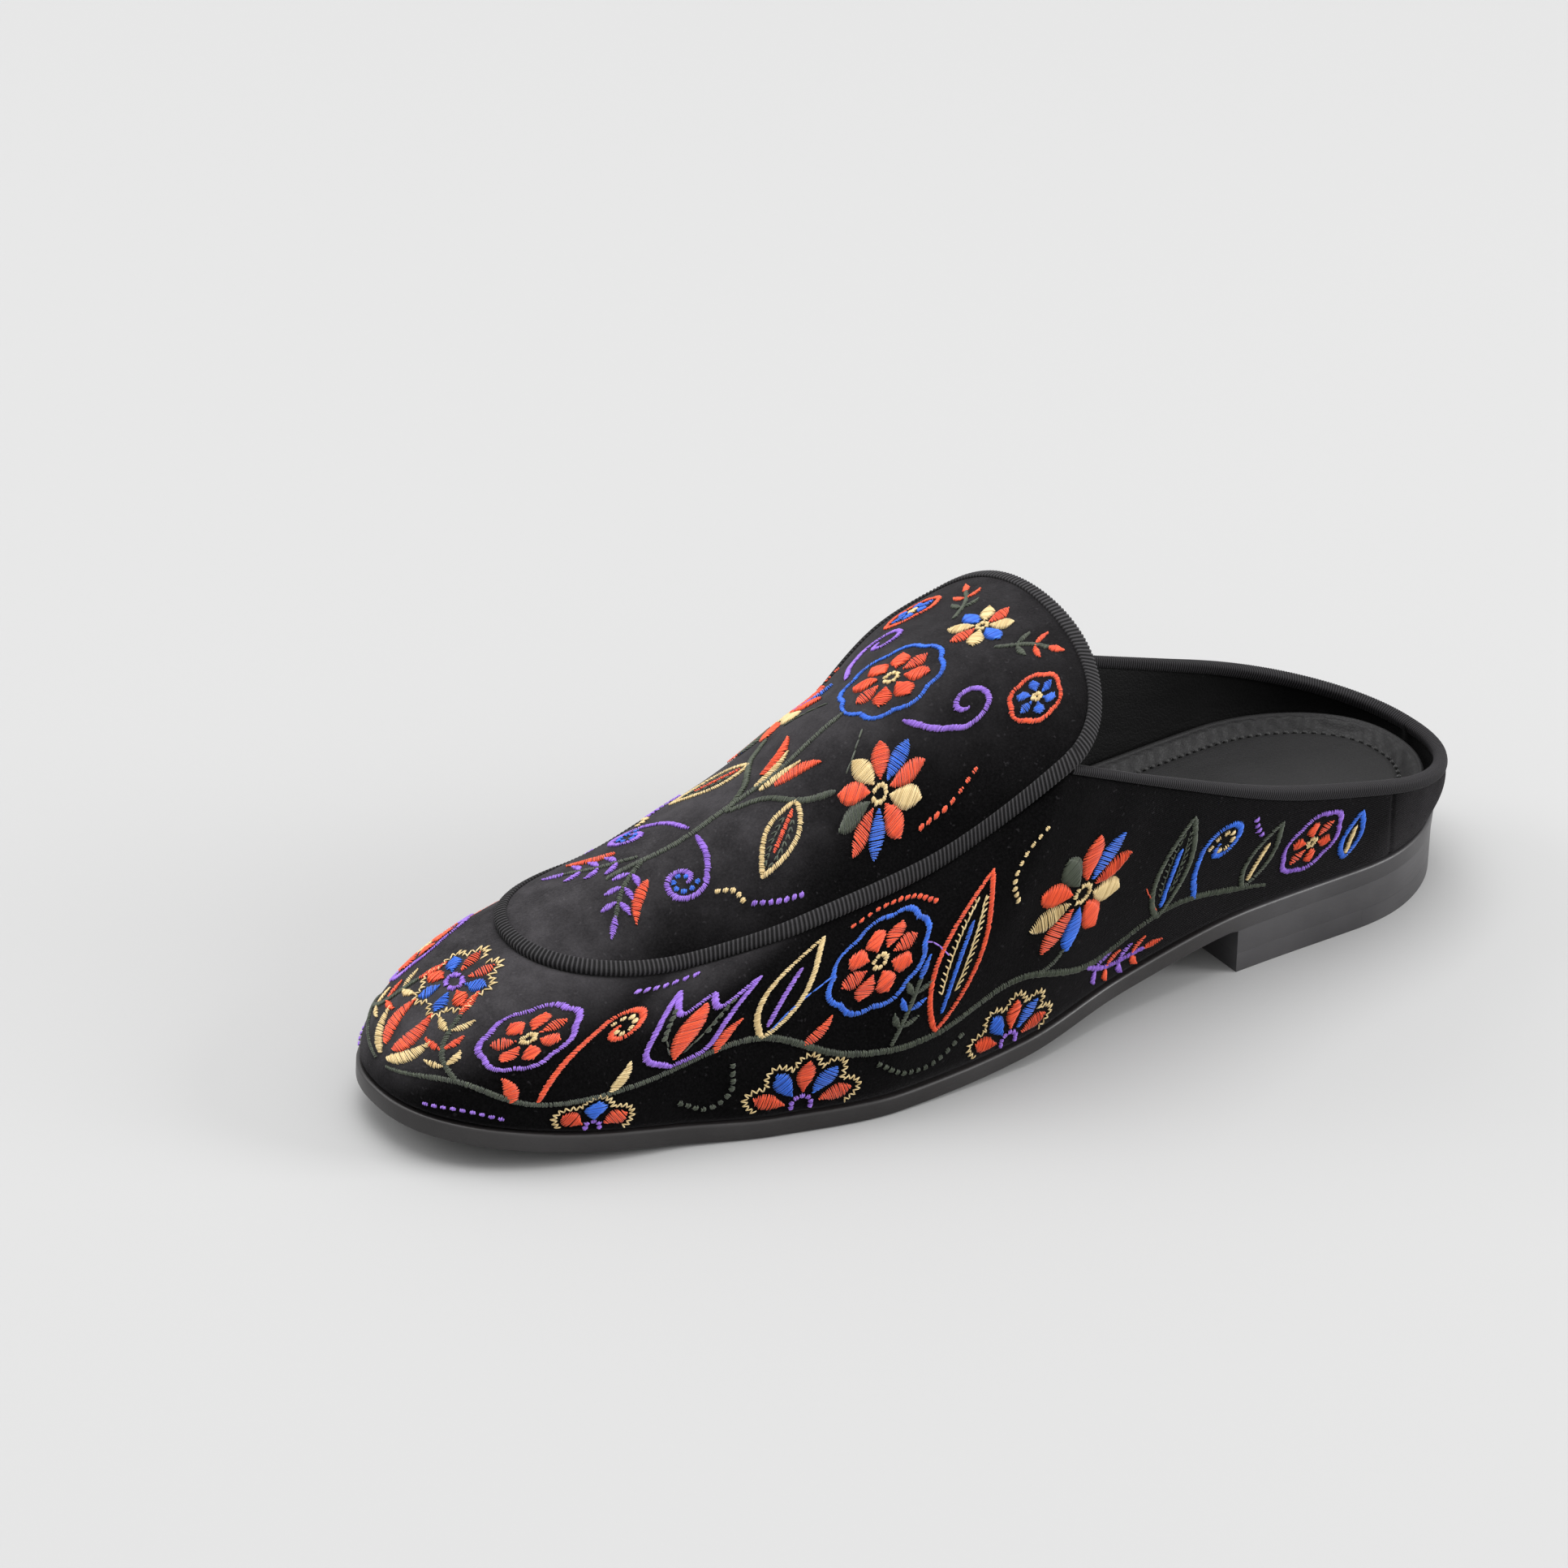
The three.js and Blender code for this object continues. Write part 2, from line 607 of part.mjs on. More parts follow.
const finish = {
  velvet: { color: 0x262427, roughness: 0.95, metalness: 0 },
  ribbon: { color: 0x2f2e31, roughness: 0.7, metalness: 0 },
  sock: { color: 0x2d2b2e, roughness: 0.6, metalness: 0 },
  sole: { color: 0x383435, roughness: 0.5, metalness: 0 },
  heel: { color: 0x454347, roughness: 0.55, metalness: 0 },
  rubber: { color: 0x2a2a2b, roughness: 0.8, metalness: 0 },
  brass: { color: 0xb08a4c, roughness: 0.35, metalness: 1 },
};

function piece(name, geometry, look) {
  const mesh = new THREE.Mesh(geometry, new THREE.MeshStandardMaterial(look));
  mesh.name = name;
  return mesh;
}

const mule = new THREE.Group();
mule.add(
  piece('upper', upperGeometry(), finish.velvet),
  piece('apron_binding', apronBindingGeometry(), finish.ribbon),
  piece('collar_binding', collarBindingGeometry(), finish.ribbon),
  piece('sock_lining', sockLiningGeometry(), finish.sock),
  piece('outsole', outsoleGeometry(), finish.sole),
  piece('heel_block', heelBlockGeometry(), finish.heel),
  piece('heel_lift_front', frontLiftGeometry(), finish.sole),
  piece('heel_lift_rear', rearLiftGeometry(), finish.rubber),
  ...NAILS.map((nail, i) => piece(`heel_nail_${i + 1}`, nailGeometry(nail, 0), finish.brass)),
);

// The origin is the middle of the whole shoe's footprint, on the floor
const box = new THREE.Box3().setFromObject(mule);
const middle = box.getCenter(new THREE.Vector3());
mule.position.set(-middle.x, -middle.y, -box.min.z);

export default mule;
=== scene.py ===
"""A black velvet slip-on mule, left shoe: velvet quarters and apron with satin-stitch embroidery, ribbed
ribbon bindings, a leather sock lining and lining, a thin sole and a low stacked heel. Lengths inside the
sections are millimetres, and MM turns them into the scene's metres."""

import bmesh
import bpy
import numpy as np
from mathutils import Matrix, Vector


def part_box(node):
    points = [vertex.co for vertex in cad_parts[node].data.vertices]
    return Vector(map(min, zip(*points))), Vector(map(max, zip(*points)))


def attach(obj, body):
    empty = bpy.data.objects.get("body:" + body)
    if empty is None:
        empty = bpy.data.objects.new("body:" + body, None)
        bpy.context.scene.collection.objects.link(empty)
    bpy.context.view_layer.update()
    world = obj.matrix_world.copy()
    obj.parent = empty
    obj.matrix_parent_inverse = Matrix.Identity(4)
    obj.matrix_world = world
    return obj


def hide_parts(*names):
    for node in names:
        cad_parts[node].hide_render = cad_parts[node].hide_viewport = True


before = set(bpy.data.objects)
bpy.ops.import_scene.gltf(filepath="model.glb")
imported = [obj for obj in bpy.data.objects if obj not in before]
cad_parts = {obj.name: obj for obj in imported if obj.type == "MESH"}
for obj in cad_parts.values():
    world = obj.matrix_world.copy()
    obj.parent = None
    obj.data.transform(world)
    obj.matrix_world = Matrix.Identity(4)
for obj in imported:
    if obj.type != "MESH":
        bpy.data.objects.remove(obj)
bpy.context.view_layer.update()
MM = 0.001

# Outsole. A thin strip of dyed leather cut to the last's outline, moulded to the arch and the toe spring,
# with its edge eased, waxed and polished, and its tread left matt with fine scratches.
LENGTH = 270.0
SOLE_THICKNESS = 4.3
GAP = 0.3
SOLE_PLAN = np.array([  # at, lateral half-width, medial half-width
    (0.00, 28.0, 29.3),
    (0.12, 31.6, 29.8),
    (0.26, 32.8, 27.6),
    (0.40, 35.5, 25.0),
    (0.52, 41.2, 29.5),
    (0.64, 42.2, 38.0),
    (0.74, 37.5, 40.5),
    (0.82, 32.8, 39.6),
    (1.00, 31.4, 37.0),
])
SOLE_SIDE = np.array([  # at, height of the underside
    (0.00, 11.4),
    (0.27, 10.7),
    (0.42, 5.7),
    (0.58, 0.6),
    (0.65, 0.0),
    (0.75, 0.0),
    (0.87, 2.2),
    (1.00, 6.9),
])
HEEL_ROUND = (0.157, 2.2)
TOE_ROUND = (0.307, 2.4)


def curve(table, column, at):
    """Cubic through one column of a table, with harmonic-mean slopes so that it never overshoots a row."""
    knots = table[:, 0]
    value = table[:, column]
    rise = np.diff(value) / np.diff(knots)
    product = rise[:-1] * rise[1:]
    total = np.where(product > 0, rise[:-1] + rise[1:], 1)
    middle = np.where(product > 0, 2 * product / total, 0)
    slope = np.concatenate([rise[:1], middle, rise[-1:]])
    at = np.asarray(at, float)
    i = np.clip(np.searchsorted(knots, at) - 1, 0, len(knots) - 2)
    span = knots[i + 1] - knots[i]
    u = (at - knots[i]) / span
    v = 1 - u
    start = (1 + 2 * u) * v * v * value[i] + u * v * v * span * slope[i]
    return start + u * u * (3 - 2 * u) * value[i + 1] - u * u * v * span * slope[i + 1]


def round_end(distance, share_power):
    """Share of the full width left near a rounded end: one minus a power of what is left, rooted again."""
    share, power = share_power
    left = np.clip(1 - distance / share, 0, 1)
    return (1 - left ** power) ** (1 / power)


def spread(table, at, share):
    """Centre line and half-width of an outline whose two sides are columns 1 and 2 of its table."""
    lateral = curve(table, 1, at)
    medial = curve(table, 2, at)
    return (lateral - medial) / 2, (lateral + medial) / 2 * share


def underside(at):
    """Height of the outsole's tread above the floor."""
    return curve(SOLE_SIDE, 1, at)


def sole_edge(at, side, inset=0.0):
    """Plan of the outsole's edge, set in from the edge, on the lateral (+1) or medial (-1) side."""
    centre, half = spread(SOLE_PLAN, at, round_end(at, HEEL_ROUND) * round_end(1 - at, TOE_ROUND))
    x = (at - 0.5) * LENGTH * (1 - 2 * inset / LENGTH)
    return np.stack([x, centre + side * np.maximum(half - inset, 0)], -1)


def eased(count):
    """Steps from 0 to 1 that crowd together at both ends, as half a cosine wave does."""
    return (1 - np.cos(np.linspace(0, np.pi, count + 1))) / 2


def smooth(value, low, high):
    """0 below low, 1 above high, and a cubic with level ends between them."""
    share = np.clip((value - low) / (high - low), 0, 1)
    return share * share * (3 - 2 * share)


outline_top = sole_edge(eased(400), 1)[:, 1].max()
SHIFT = np.array([
    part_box("outsole")[0].x / MM + LENGTH / 2,
    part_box("outsole")[1].y / MM - outline_top,
    0,
])


def even_loop(points, count):
    """A closed loop of points taken again at even steps of its length."""
    closed = np.concatenate([points, points[:1]])
    length = np.concatenate([[0], np.cumsum(np.linalg.norm(np.diff(closed, axis=0), axis=1))])
    steps = np.linspace(0, length[-1], count, endpoint=False)
    return np.stack([np.interp(steps, length, closed[:, k]) for k in range(points.shape[1])], -1)


def sole_loop(inset, count):
    """The outsole's outline set in by a distance, counterclockwise from the heel along the medial side."""
    at = eased(400)
    medial = sole_edge(at, -1)
    lateral = sole_edge(at[::-1], 1)
    loop = even_loop(np.concatenate([medial, lateral[1:-1]]), 1600)
    return even_loop(loop - loop_outward(loop) * inset, count)


def loop_outward(loop):
    """Unit vectors in the plan that point out of a counterclockwise loop."""
    along = np.roll(loop, -1, axis=0) - np.roll(loop, 1, axis=0)
    outward = np.stack([along[:, 1], -along[:, 0]], -1)
    return outward / np.linalg.norm(outward, axis=1, keepdims=True)


def new_piece(name, points, faces, uv=None):
    """A mesh object from points in millimetres and quads or triangles; uv holds a pair for each point."""
    mesh = bpy.data.meshes.new(name)
    mesh.from_pydata((points + SHIFT) * MM, [], faces)
    mesh.polygons.foreach_set("use_smooth", np.ones(len(mesh.polygons), bool))
    if uv is not None:
        corner = np.zeros(len(mesh.loops), np.int32)
        mesh.loops.foreach_get("vertex_index", corner)
        layer = mesh.uv_layers.new(name="surface")
        layer.data.foreach_set("uv", uv[corner].astype(np.float32).ravel())
    piece = bpy.data.objects.new(name, mesh)
    bpy.context.scene.collection.objects.link(piece)
    return piece


def strip_faces(rows, columns, loop_rows=False, loop_columns=False, start=0):
    """Quads of a grid stored row by row; a looped side joins its last line to its first."""
    i = np.arange(rows if loop_rows else rows - 1)[:, None]
    j = np.arange(columns if loop_columns else columns - 1)[None]
    below = (i + 1) % rows
    beside = (j + 1) % columns
    corners = (i * columns + j, below * columns + j, below * columns + beside, i * columns + beside)
    return start + np.stack(np.broadcast_arrays(*corners), -1).reshape(-1, 4)


def plate(name, loop, rings, spine):
    """A plate over a loop: each ring is the loop set out or drawn in towards a spine, with its own height.

    A ring is (out, draw, height): points = loop + out * outward, then moved by the share draw towards the
    nearest point of the spine, at height(x, y). The first and the last ring lie on the spine."""
    outward = loop_outward(loop)
    inner = np.stack([np.clip(loop[:, 0], *spine), np.full(len(loop), loop[:, 1].mean())], -1)
    rows = []
    for out, draw, height in rings:
        flat = loop + outward * np.reshape(out, (-1, 1))
        flat = flat + (inner - flat) * draw
        rows.append(np.column_stack([flat, height(flat[:, 0], flat[:, 1])]))
    points = np.concatenate(rows)
    piece = new_piece(name, points, strip_faces(len(rings), len(loop), loop_columns=True)[:, ::-1])
    weld(piece)
    return piece


def weld(piece):
    """Merges points that lie together, so that poles and seams are closed."""
    shape = bmesh.new()
    shape.from_mesh(piece.data)
    bmesh.ops.remove_doubles(shape, verts=shape.verts, dist=1e-3 * MM)
    bmesh.ops.dissolve_degenerate(shape, edges=shape.edges, dist=1e-4 * MM)
    shape.to_mesh(piece.data)
    shape.free()


class Shade:
    """A node's socket in Python arithmetic: each operator adds a Math node, and node() adds any other."""

    def __init__(self, tree, socket=None):
        self.tree = tree
        self.socket = socket

    def node(self, kind, settings=None, out=0, **inputs):
        """Adds a node of this kind, sets its settings, then fills its sockets with values or links."""
        made = self.tree.nodes.new("ShaderNode" + kind)
        for key, value in (settings or {}).items():
            setattr(made, key, value)
        for key, value in inputs.items():
            slot = made.inputs[int(key[1:])] if key[0] == "_" and key[1:].isdigit() else made.inputs[key]
            if isinstance(value, Shade):
                self.tree.links.new(value.socket, slot)
            else:
                slot.default_value = value
        return Shade(self.tree, made.outputs[out])

    def math(self, operation, first, second=0.0):
        """A Math node on two values."""
        return self.node("Math", {"operation": operation}, _0=first, _1=second)

    def __add__(self, other):
        return self.math("ADD", self, other)

    def __sub__(self, other):
        return self.math("SUBTRACT", self, other)

    def __rsub__(self, other):
        return self.math("SUBTRACT", other, self)

    def __mul__(self, other):
        return self.math("MULTIPLY", self, other)

    __radd__ = __add__
    __rmul__ = __mul__

    def sine(self):
        """The sine of this value, in radians."""
        return self.math("SINE", self)

    def band(self, low, high):
        """0 below low, 1 above high, smooth between them."""
        settings = {"interpolation_type": "SMOOTHSTEP"}
        return self.node("MapRange", settings, _0=self, _1=low, _2=high, _3=0.0, _4=1.0)

    def noise(self, scale, detail=3.0, rough=0.55):
        """Noise at this place, with so many spots to a metre."""
        return self.node("TexNoise", {}, Vector=self, Scale=scale, Detail=detail, Roughness=rough)

    def colours(self, dark, light):
        """A colour between two others, by this value."""
        settings = {"data_type": "RGBA"}
        return self.node("Mix", settings, 2, _0=self, _6=(*dark, 1), _7=(*light, 1))

    def bump(self, distance, strength=1.0, normal=None):
        """A normal bent by this height, in metres, over another bend if one is given."""
        links = {"Height": self, "Distance": distance, "Strength": strength}
        if normal is not None:
            links["Normal"] = normal
        return self.node("Bump", {}, **links)


def finish_of(name, **constants):
    """A new material: its Principled shader with constant sockets set, and a Shade to build on."""
    material = bpy.data.materials.new(name)
    material.use_nodes = True
    shader = material.node_tree.nodes["Principled BSDF"]
    for socket, value in constants.items():
        shader.inputs[socket.replace("_", " ")].default_value = value
    return material, shader, Shade(material.node_tree)


def link(shader, **sockets):
    """Feeds a shader's sockets with varying values."""
    for socket, value in sockets.items():
        shader.id_data.links.new(value.socket, shader.inputs[socket.replace("_", " ")])


def object_place(paint):
    """The piece's own coordinates, in metres."""
    return paint.node("TexCoord", out="Object")


def sole_leather():
    """Dyed sole leather: nearly black, satin, with long scratches and a slightly paler, duller wear."""
    material, shader, paint = finish_of("sole_leather", Specular_IOR_Level=0.5, Coat_Roughness=0.25)
    place = object_place(paint)
    long_place = paint.node("Mapping", {}, Vector=place, Scale=(1.0, 7.0, 7.0))
    cloud = place.noise(28.0, 4.0)
    scratch = long_place.noise(420.0, 2.0)
    wear = (cloud * 0.7 + scratch * 0.3).band(0.3, 0.75)
    dyed = wear.colours((0.0084, 0.0071, 0.0072), (0.0200, 0.0174, 0.0177))
    painted = wear.colours((0.026, 0.0245, 0.0265), (0.044, 0.0420, 0.0450))
    past = paint.node("SeparateXYZ", {}, "X", Vector=place).band(-0.075, -0.045)
    link(
        shader,
        Base_Color=paint.node("Mix", {"data_type": "RGBA"}, 2, _0=past, _6=painted, _7=dyed),
        Roughness=0.34 + cloud * 0.14 + scratch * 0.1,
        Coat_Weight=cloud.band(0.35, 0.7) * 0.3,
        Normal=(scratch * 0.6 + place.noise(1500.0, 2.0) * 0.4).bump(0.00012, 0.35),
    )
    return material


SOLE_EASE = 0.7
SHARP_EASE = 0.04
HEEL_LENGTH = 0.284
SOLE_SPINE = (-112.0, 106.0)


def sole_layer(share):
    """A height function: this share of the sole's thickness above its underside."""
    def height(x, y):
        return underside(np.clip(x / LENGTH + 0.5, 0, 1)) + SOLE_THICKNESS * share
    return height


def rounded_rings(thick, low_ease, high_ease, layers):
    """Rings of a plate with quarter-round edges: in at the bottom, round the edge, and back at the top."""
    draws = (1.0, 0.75, 0.5, 0.25, 0.1, 0.03)
    turn = np.linspace(0, np.pi / 2, 6)
    rings = [(-low_ease, draw, layers(0.0)) for draw in draws]
    for a in turn:
        rings.append((-low_ease * (1 - np.sin(a)), 0.0, layers(low_ease / thick * (1 - np.cos(a)))))
    for a in turn:
        rings.append((-high_ease * (1 - np.cos(a)), 0.0, layers(1 - high_ease / thick * (1 - np.sin(a)))))
    return rings + [(-high_ease, draw, layers(1.0)) for draw in draws[::-1]]


sole_outline = sole_loop(0.0, 720)
past_heel = smooth(sole_outline[:, 0] / LENGTH + 0.5, HEEL_LENGTH, HEEL_LENGTH + 0.008)
outsole = plate(
    "outsole_leather",
    sole_outline,
    rounded_rings(SOLE_THICKNESS, SHARP_EASE + (SOLE_EASE - SHARP_EASE) * past_heel, SOLE_EASE, sole_layer),
    SOLE_SPINE,
)
outsole.data.materials.append(sole_leather())
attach(outsole, "root")
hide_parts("outsole")

# Heel. Layers of leather board stacked, trimmed flush with the sole, raked a little backwards and painted
# black, so that the joints of the layers show as faint lines in the satin paint.
HEEL_RAKE = 1.0
LIFT_THICKNESS = 4.6
HEEL_INSET = 0.05
HEEL_EASE = 0.015
LIFT_SPLIT = HEEL_LENGTH * 0.52
LIFT_JOINT = 0.01
NAIL_SHOW = 0.26
HOLLOW_FROM = 1.0
HOLLOW_FULL = 3.5
HEEL_SPINE_BACK = 22
HEEL_SPINE_FRONT = 12
HEEL_SHARP = np.radians(15)


def heel_loop(start, end):
    """Outline of a heel layer between two stations: the sole's edge, closed by straight breasts."""
    at = start + (end - start) * eased(240)
    medial = sole_edge(at, -1, HEEL_INSET)
    lateral = sole_edge(at[::-1], 1, HEEL_INSET)
    share = eased(60)[:-1, None]
    front = medial[-1] + (lateral[0] - medial[-1]) * share
    back = lateral[-1] + (medial[0] - lateral[-1]) * share[: len(share) if start else 1]
    return np.concatenate([medial[:-1], front, lateral[:-1], back])


def heel_plate(name, start, end, low, high, hollow=0.0):
    """A heel layer with barely eased edges, raked towards the floor; its underside may be a little hollow."""
    def layers(share):
        """A height function: this share of the way from the hollowed underside to the top."""
        def height(x, y):
            at = np.clip(x / LENGTH + 0.5, 0, 1)
            aside = np.minimum(sole_edge(at, 1)[:, 1] - y, y - sole_edge(at, -1)[:, 1])
            room = np.minimum(aside, np.minimum(at - start, end - at) * LENGTH)
            level = low + hollow * smooth(room, HOLLOW_FROM, HOLLOW_FULL)
            return level + (high(at) - level) * share
        return height

    spine = ((start - 0.5) * LENGTH + HEEL_SPINE_BACK, (end - 0.5) * LENGTH - HEEL_SPINE_FRONT)
    rings = rounded_rings(high(0.1) - low, HEEL_EASE, HEEL_EASE, layers)
    piece = plate(name, heel_loop(start, end), rings, (min(spine), max(spine)))
    piece.data.set_sharp_from_angle(angle=HEEL_SHARP)
    place = np.zeros(len(piece.data.vertices) * 3)
    piece.data.vertices.foreach_get("co", place)
    place = place.reshape(-1, 3)
    place[:, 0] -= HEEL_RAKE * MM * (1 - place[:, 2] / (SOLE_SIDE[0, 1] * MM))
    piece.data.vertices.foreach_set("co", place.ravel())
    return piece


def heel_paint():
    """Painted leather board: satin black with a faint cloud and fine lines along the layers."""
    material, shader, paint = finish_of("heel_paint", Specular_IOR_Level=0.5, Coat_Roughness=0.3)
    place = object_place(paint)
    cloud = place.noise(45.0, 3.0)
    flat_place = paint.node("Mapping", {}, Vector=place, Scale=(0.35, 0.35, 6.0))
    layer = flat_place.noise(300.0, 2.0)
    link(
        shader,
        Base_Color=cloud.band(0.3, 0.7).colours((0.031, 0.0295, 0.032), (0.048, 0.046, 0.049)),
        Roughness=0.36 + cloud * 0.12 + layer * 0.1,
        Coat_Weight=cloud * 0.3,
        Normal=(layer * 0.7 + place.noise(900.0, 2.0) * 0.3).bump(0.00015, 0.3),
    )
    return material


heel_black = heel_paint()
heel_block = heel_plate(
    "heel_stack",
    0,
    HEEL_LENGTH,
    LIFT_THICKNESS + LIFT_JOINT,
    lambda at: underside(at) - 0.05,
)
heel_front = heel_plate(
    "heel_top_piece_front",
    LIFT_SPLIT + 2 * LIFT_JOINT / LENGTH,
    HEEL_LENGTH,
    0.0,
    lambda at: LIFT_THICKNESS - LIFT_JOINT,
    NAIL_SHOW,
)
for piece, node, slot in ((heel_block, "heel_block", "heel"), (heel_front, "heel_lift_front", "sole")):
    piece.data.materials.append(heel_black)
    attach(piece, "root")
    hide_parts(node)

# Rubber lift. The rear half of the heel's top piece is moulded rubber with fine ribs across the tread,
# glued and flush with the smooth front half.
RIB_PITCH = 1.33
RIB_DEPTH = 0.55
RIB_SAMPLES = 8
RIB_SQUARE = 1.4
RIB_FADE = 8
RUBBER_COLUMNS = 33
RUBBER_ROUND = 0.02
RUBBER_SHARP = np.radians(40)
TREAD_FACING = -0.2


def rubber_lift():
    """Sections along the heel: each is a closed box whose floor follows a rib wave across the tread.

    The wave is the depth times a sharpened half cosine of the place along, fading at both sides."""
    start = eased(60)[:30] / eased(60)[30] * RUBBER_ROUND
    ribbed = np.arange(RUBBER_ROUND, LIFT_SPLIT, RIB_PITCH / RIB_SAMPLES / LENGTH)
    at = np.maximum(np.concatenate([start, ribbed, [LIFT_SPLIT]]), 1e-6)
    lateral = sole_edge(at, 1, HEEL_INSET)
    medial = sole_edge(at, -1, HEEL_INSET)
    across = np.linspace(0, 1, RUBBER_COLUMNS)
    wave = np.clip(np.cos(2 * np.pi * at * LENGTH / RIB_PITCH) * RIB_SQUARE, -1, 1)
    near_end = round_end(at, (0.01, 2.0))
    floor_height = RIB_DEPTH * (1 - wave) / 2 * near_end
    y = medial[:, 1:] + (lateral - medial)[:, 1:] * across
    x = np.repeat(lateral[:, :1], RUBBER_COLUMNS, 1)
    level = floor_height[:, None] * np.minimum(1, RIB_FADE * np.minimum(across, 1 - across))
    bottom = np.stack([x - HEEL_RAKE, y, level], -1)
    top = np.stack([x - HEEL_RAKE * 0.6, y, np.full_like(x, LIFT_THICKNESS - LIFT_JOINT)], -1)[:, ::-1]
    section = np.concatenate([bottom, top], 1)
    count = section.shape[1]
    faces = strip_faces(len(at), count, loop_columns=True)[:, ::-1].tolist()
    last = (len(at) - 1) * count
    faces.append(list(range(count))[::-1])
    faces.append(list(range(last, last + count)))
    piece = new_piece("heel_top_piece_rubber", section.reshape(-1, 3), faces)
    weld(piece)
    return piece


def moulded_rubber():
    """Black rubber: matt, with a fine moulded grain."""
    material, shader, paint = finish_of("moulded_rubber", Specular_IOR_Level=0.4)
    place = object_place(paint)
    grain = place.noise(900.0, 3.0)
    link(
        shader,
        Base_Color=grain.band(0.3, 0.7).colours((0.012, 0.012, 0.012), (0.022, 0.022, 0.022)),
        Roughness=0.55 + grain * 0.2,
        Normal=grain.bump(0.0001, 0.35),
    )
    return material


rubber = rubber_lift()
rubber.data.materials.append(heel_black)
rubber.data.materials.append(moulded_rubber())
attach(rubber, "root")
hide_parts("heel_lift_rear")
facing = np.zeros(len(rubber.data.polygons) * 3)
rubber.data.polygons.foreach_get("normal", facing)
tread = (facing.reshape(-1, 3)[:, 2] < TREAD_FACING).astype(np.int32)
rubber.data.polygons.foreach_set("material_index", tread)
rubber.data.set_sharp_from_angle(angle=RUBBER_SHARP)

# Heel nails. Small brass nails driven into the front half of the top piece and filed almost flush, so
# their own solids stay and only get their metal.


def brass():
    """Filed brass: warm metal with fine scratches and a little tarnish."""
    material, shader, paint = finish_of("nail_brass", Metallic=1.0)
    place = object_place(paint)
    tarnish = place.noise(1400.0, 3.0)
    link(
        shader,
        Base_Color=tarnish.band(0.3, 0.7).colours((0.42, 0.29, 0.11), (0.62, 0.46, 0.20)),
        Roughness=0.28 + tarnish * 0.25,
        Normal=place.noise(5000.0, 2.0).bump(0.00004, 0.4),
    )
    return material


nail_brass = brass()
for name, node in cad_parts.items():
    if name.startswith("heel_nail"):
        node.data.materials.clear()
        node.data.materials.append(nail_brass)

# Sock lining. Soft black leather over thin foam, cut to the inside of the last; its rim turns a little way
# up the wall, and a line of stitches runs round it inside a margin where the leather is slightly puckered.
FEATHER_INSET = 0.6
WALL = 2.0
SOCK_INSET = FEATHER_INSET + WALL + 2 * GAP
SOCK_STITCH = 2.2
SOCK_STITCH_INSET = 5.2
SOCK_STITCH_WIDTH = 1.0
SOCK_STITCH_HEIGHT = 4.6
SOCK_STITCH_RISE = 0.25
SOCK_STITCH_FROM = 0.2
SOCK_STITCH_TO = 0.8
SOCK_SPINE = (-104.0, 98.0)


def sock_height(above, pucker=0.0):
    """A height function above the sole: a level plus small puckers, two crossed sine waves of the plan."""
    def height(x, y):
        level = underside(np.clip(x / LENGTH + 0.5, 0, 1)) + SOLE_THICKNESS + 0.1
        waves = np.sin(1.7 * x + 1.1 * np.sin(0.53 * y)) * np.sin(1.3 * y + 0.9 * np.sin(0.61 * x))
        return level + above + pucker * waves
    return height


def sock_rings():
    """Rings of the sock lining: flat below, up the rim, down the margin, past the stitches, to the middle."""
    base = [(-0.6, draw, sock_height(0)) for draw in (1.0, 0.5, 0.0)]
    rim = [(0, 0, sock_height(h)) for h in (0.6, 3.0, 6.6)]
    turn = np.linspace(0.3, np.pi - 0.3, 6)
    rim += [(-0.7 + 0.7 * np.cos(a), 0, sock_height(6.8 + 0.7 * np.sin(a))) for a in turn]
    margin = [(-out, 0, sock_height(8.9 - 0.86 * out, 0.26)) for out in (1.9, 2.4, 2.9, 3.4, 3.9, 4.4)]
    dip = ((4.8, 4.75), (5.2, 4.5), (5.6, 4.7), (6.1, 5.0), (7.0, 4.95))
    groove = [(-out, 0, sock_height(h)) for out, h in dip]
    panel = [(-10.0, 0, sock_height(4.7))]
    panel += [(-10.0, draw, sock_height(4.6)) for draw in (0.2, 0.4, 0.6, 0.8, 1.0)]
    return base + rim + margin + groove + panel


def lining_leather(name, dark, light, gloss):
    """Lining leather: near-black, soft sheen, pebbled grain from small cells, and long shallow wrinkles."""
    material, shader, paint = finish_of(
        name, Specular_IOR_Level=gloss, Sheen_Weight=0.03, Sheen_Roughness=0.5
    )
    place = object_place(paint)
    cells = paint.node("TexVoronoi", {"feature": "DISTANCE_TO_EDGE"}, Vector=place, Scale=1150.0)
    pebble = cells.band(0.0, 0.22)
    stretch = paint.node("Mapping", {}, Vector=place, Scale=(0.6, 1.6, 1.6))
    wrinkle = stretch.noise(150.0, 4.0, 0.6)
    cloud = place.noise(40.0, 3.0)
    grain_bump = pebble.bump(0.00010, 0.25)
    link(
        shader,
        Base_Color=cloud.band(0.3, 0.75).colours(dark, light),
        Roughness=0.50 + cloud * 0.16 - pebble * 0.06,
        Normal=wrinkle.bump(0.0006, 0.30, grain_bump),
    )
    return material


def store(piece, name, values):
    """Keeps one number for each point of a piece, for its material to read."""
    layer = piece.data.attributes.new(name, "FLOAT", "POINT")
    layer.data.foreach_set("value", values.astype(np.float32))


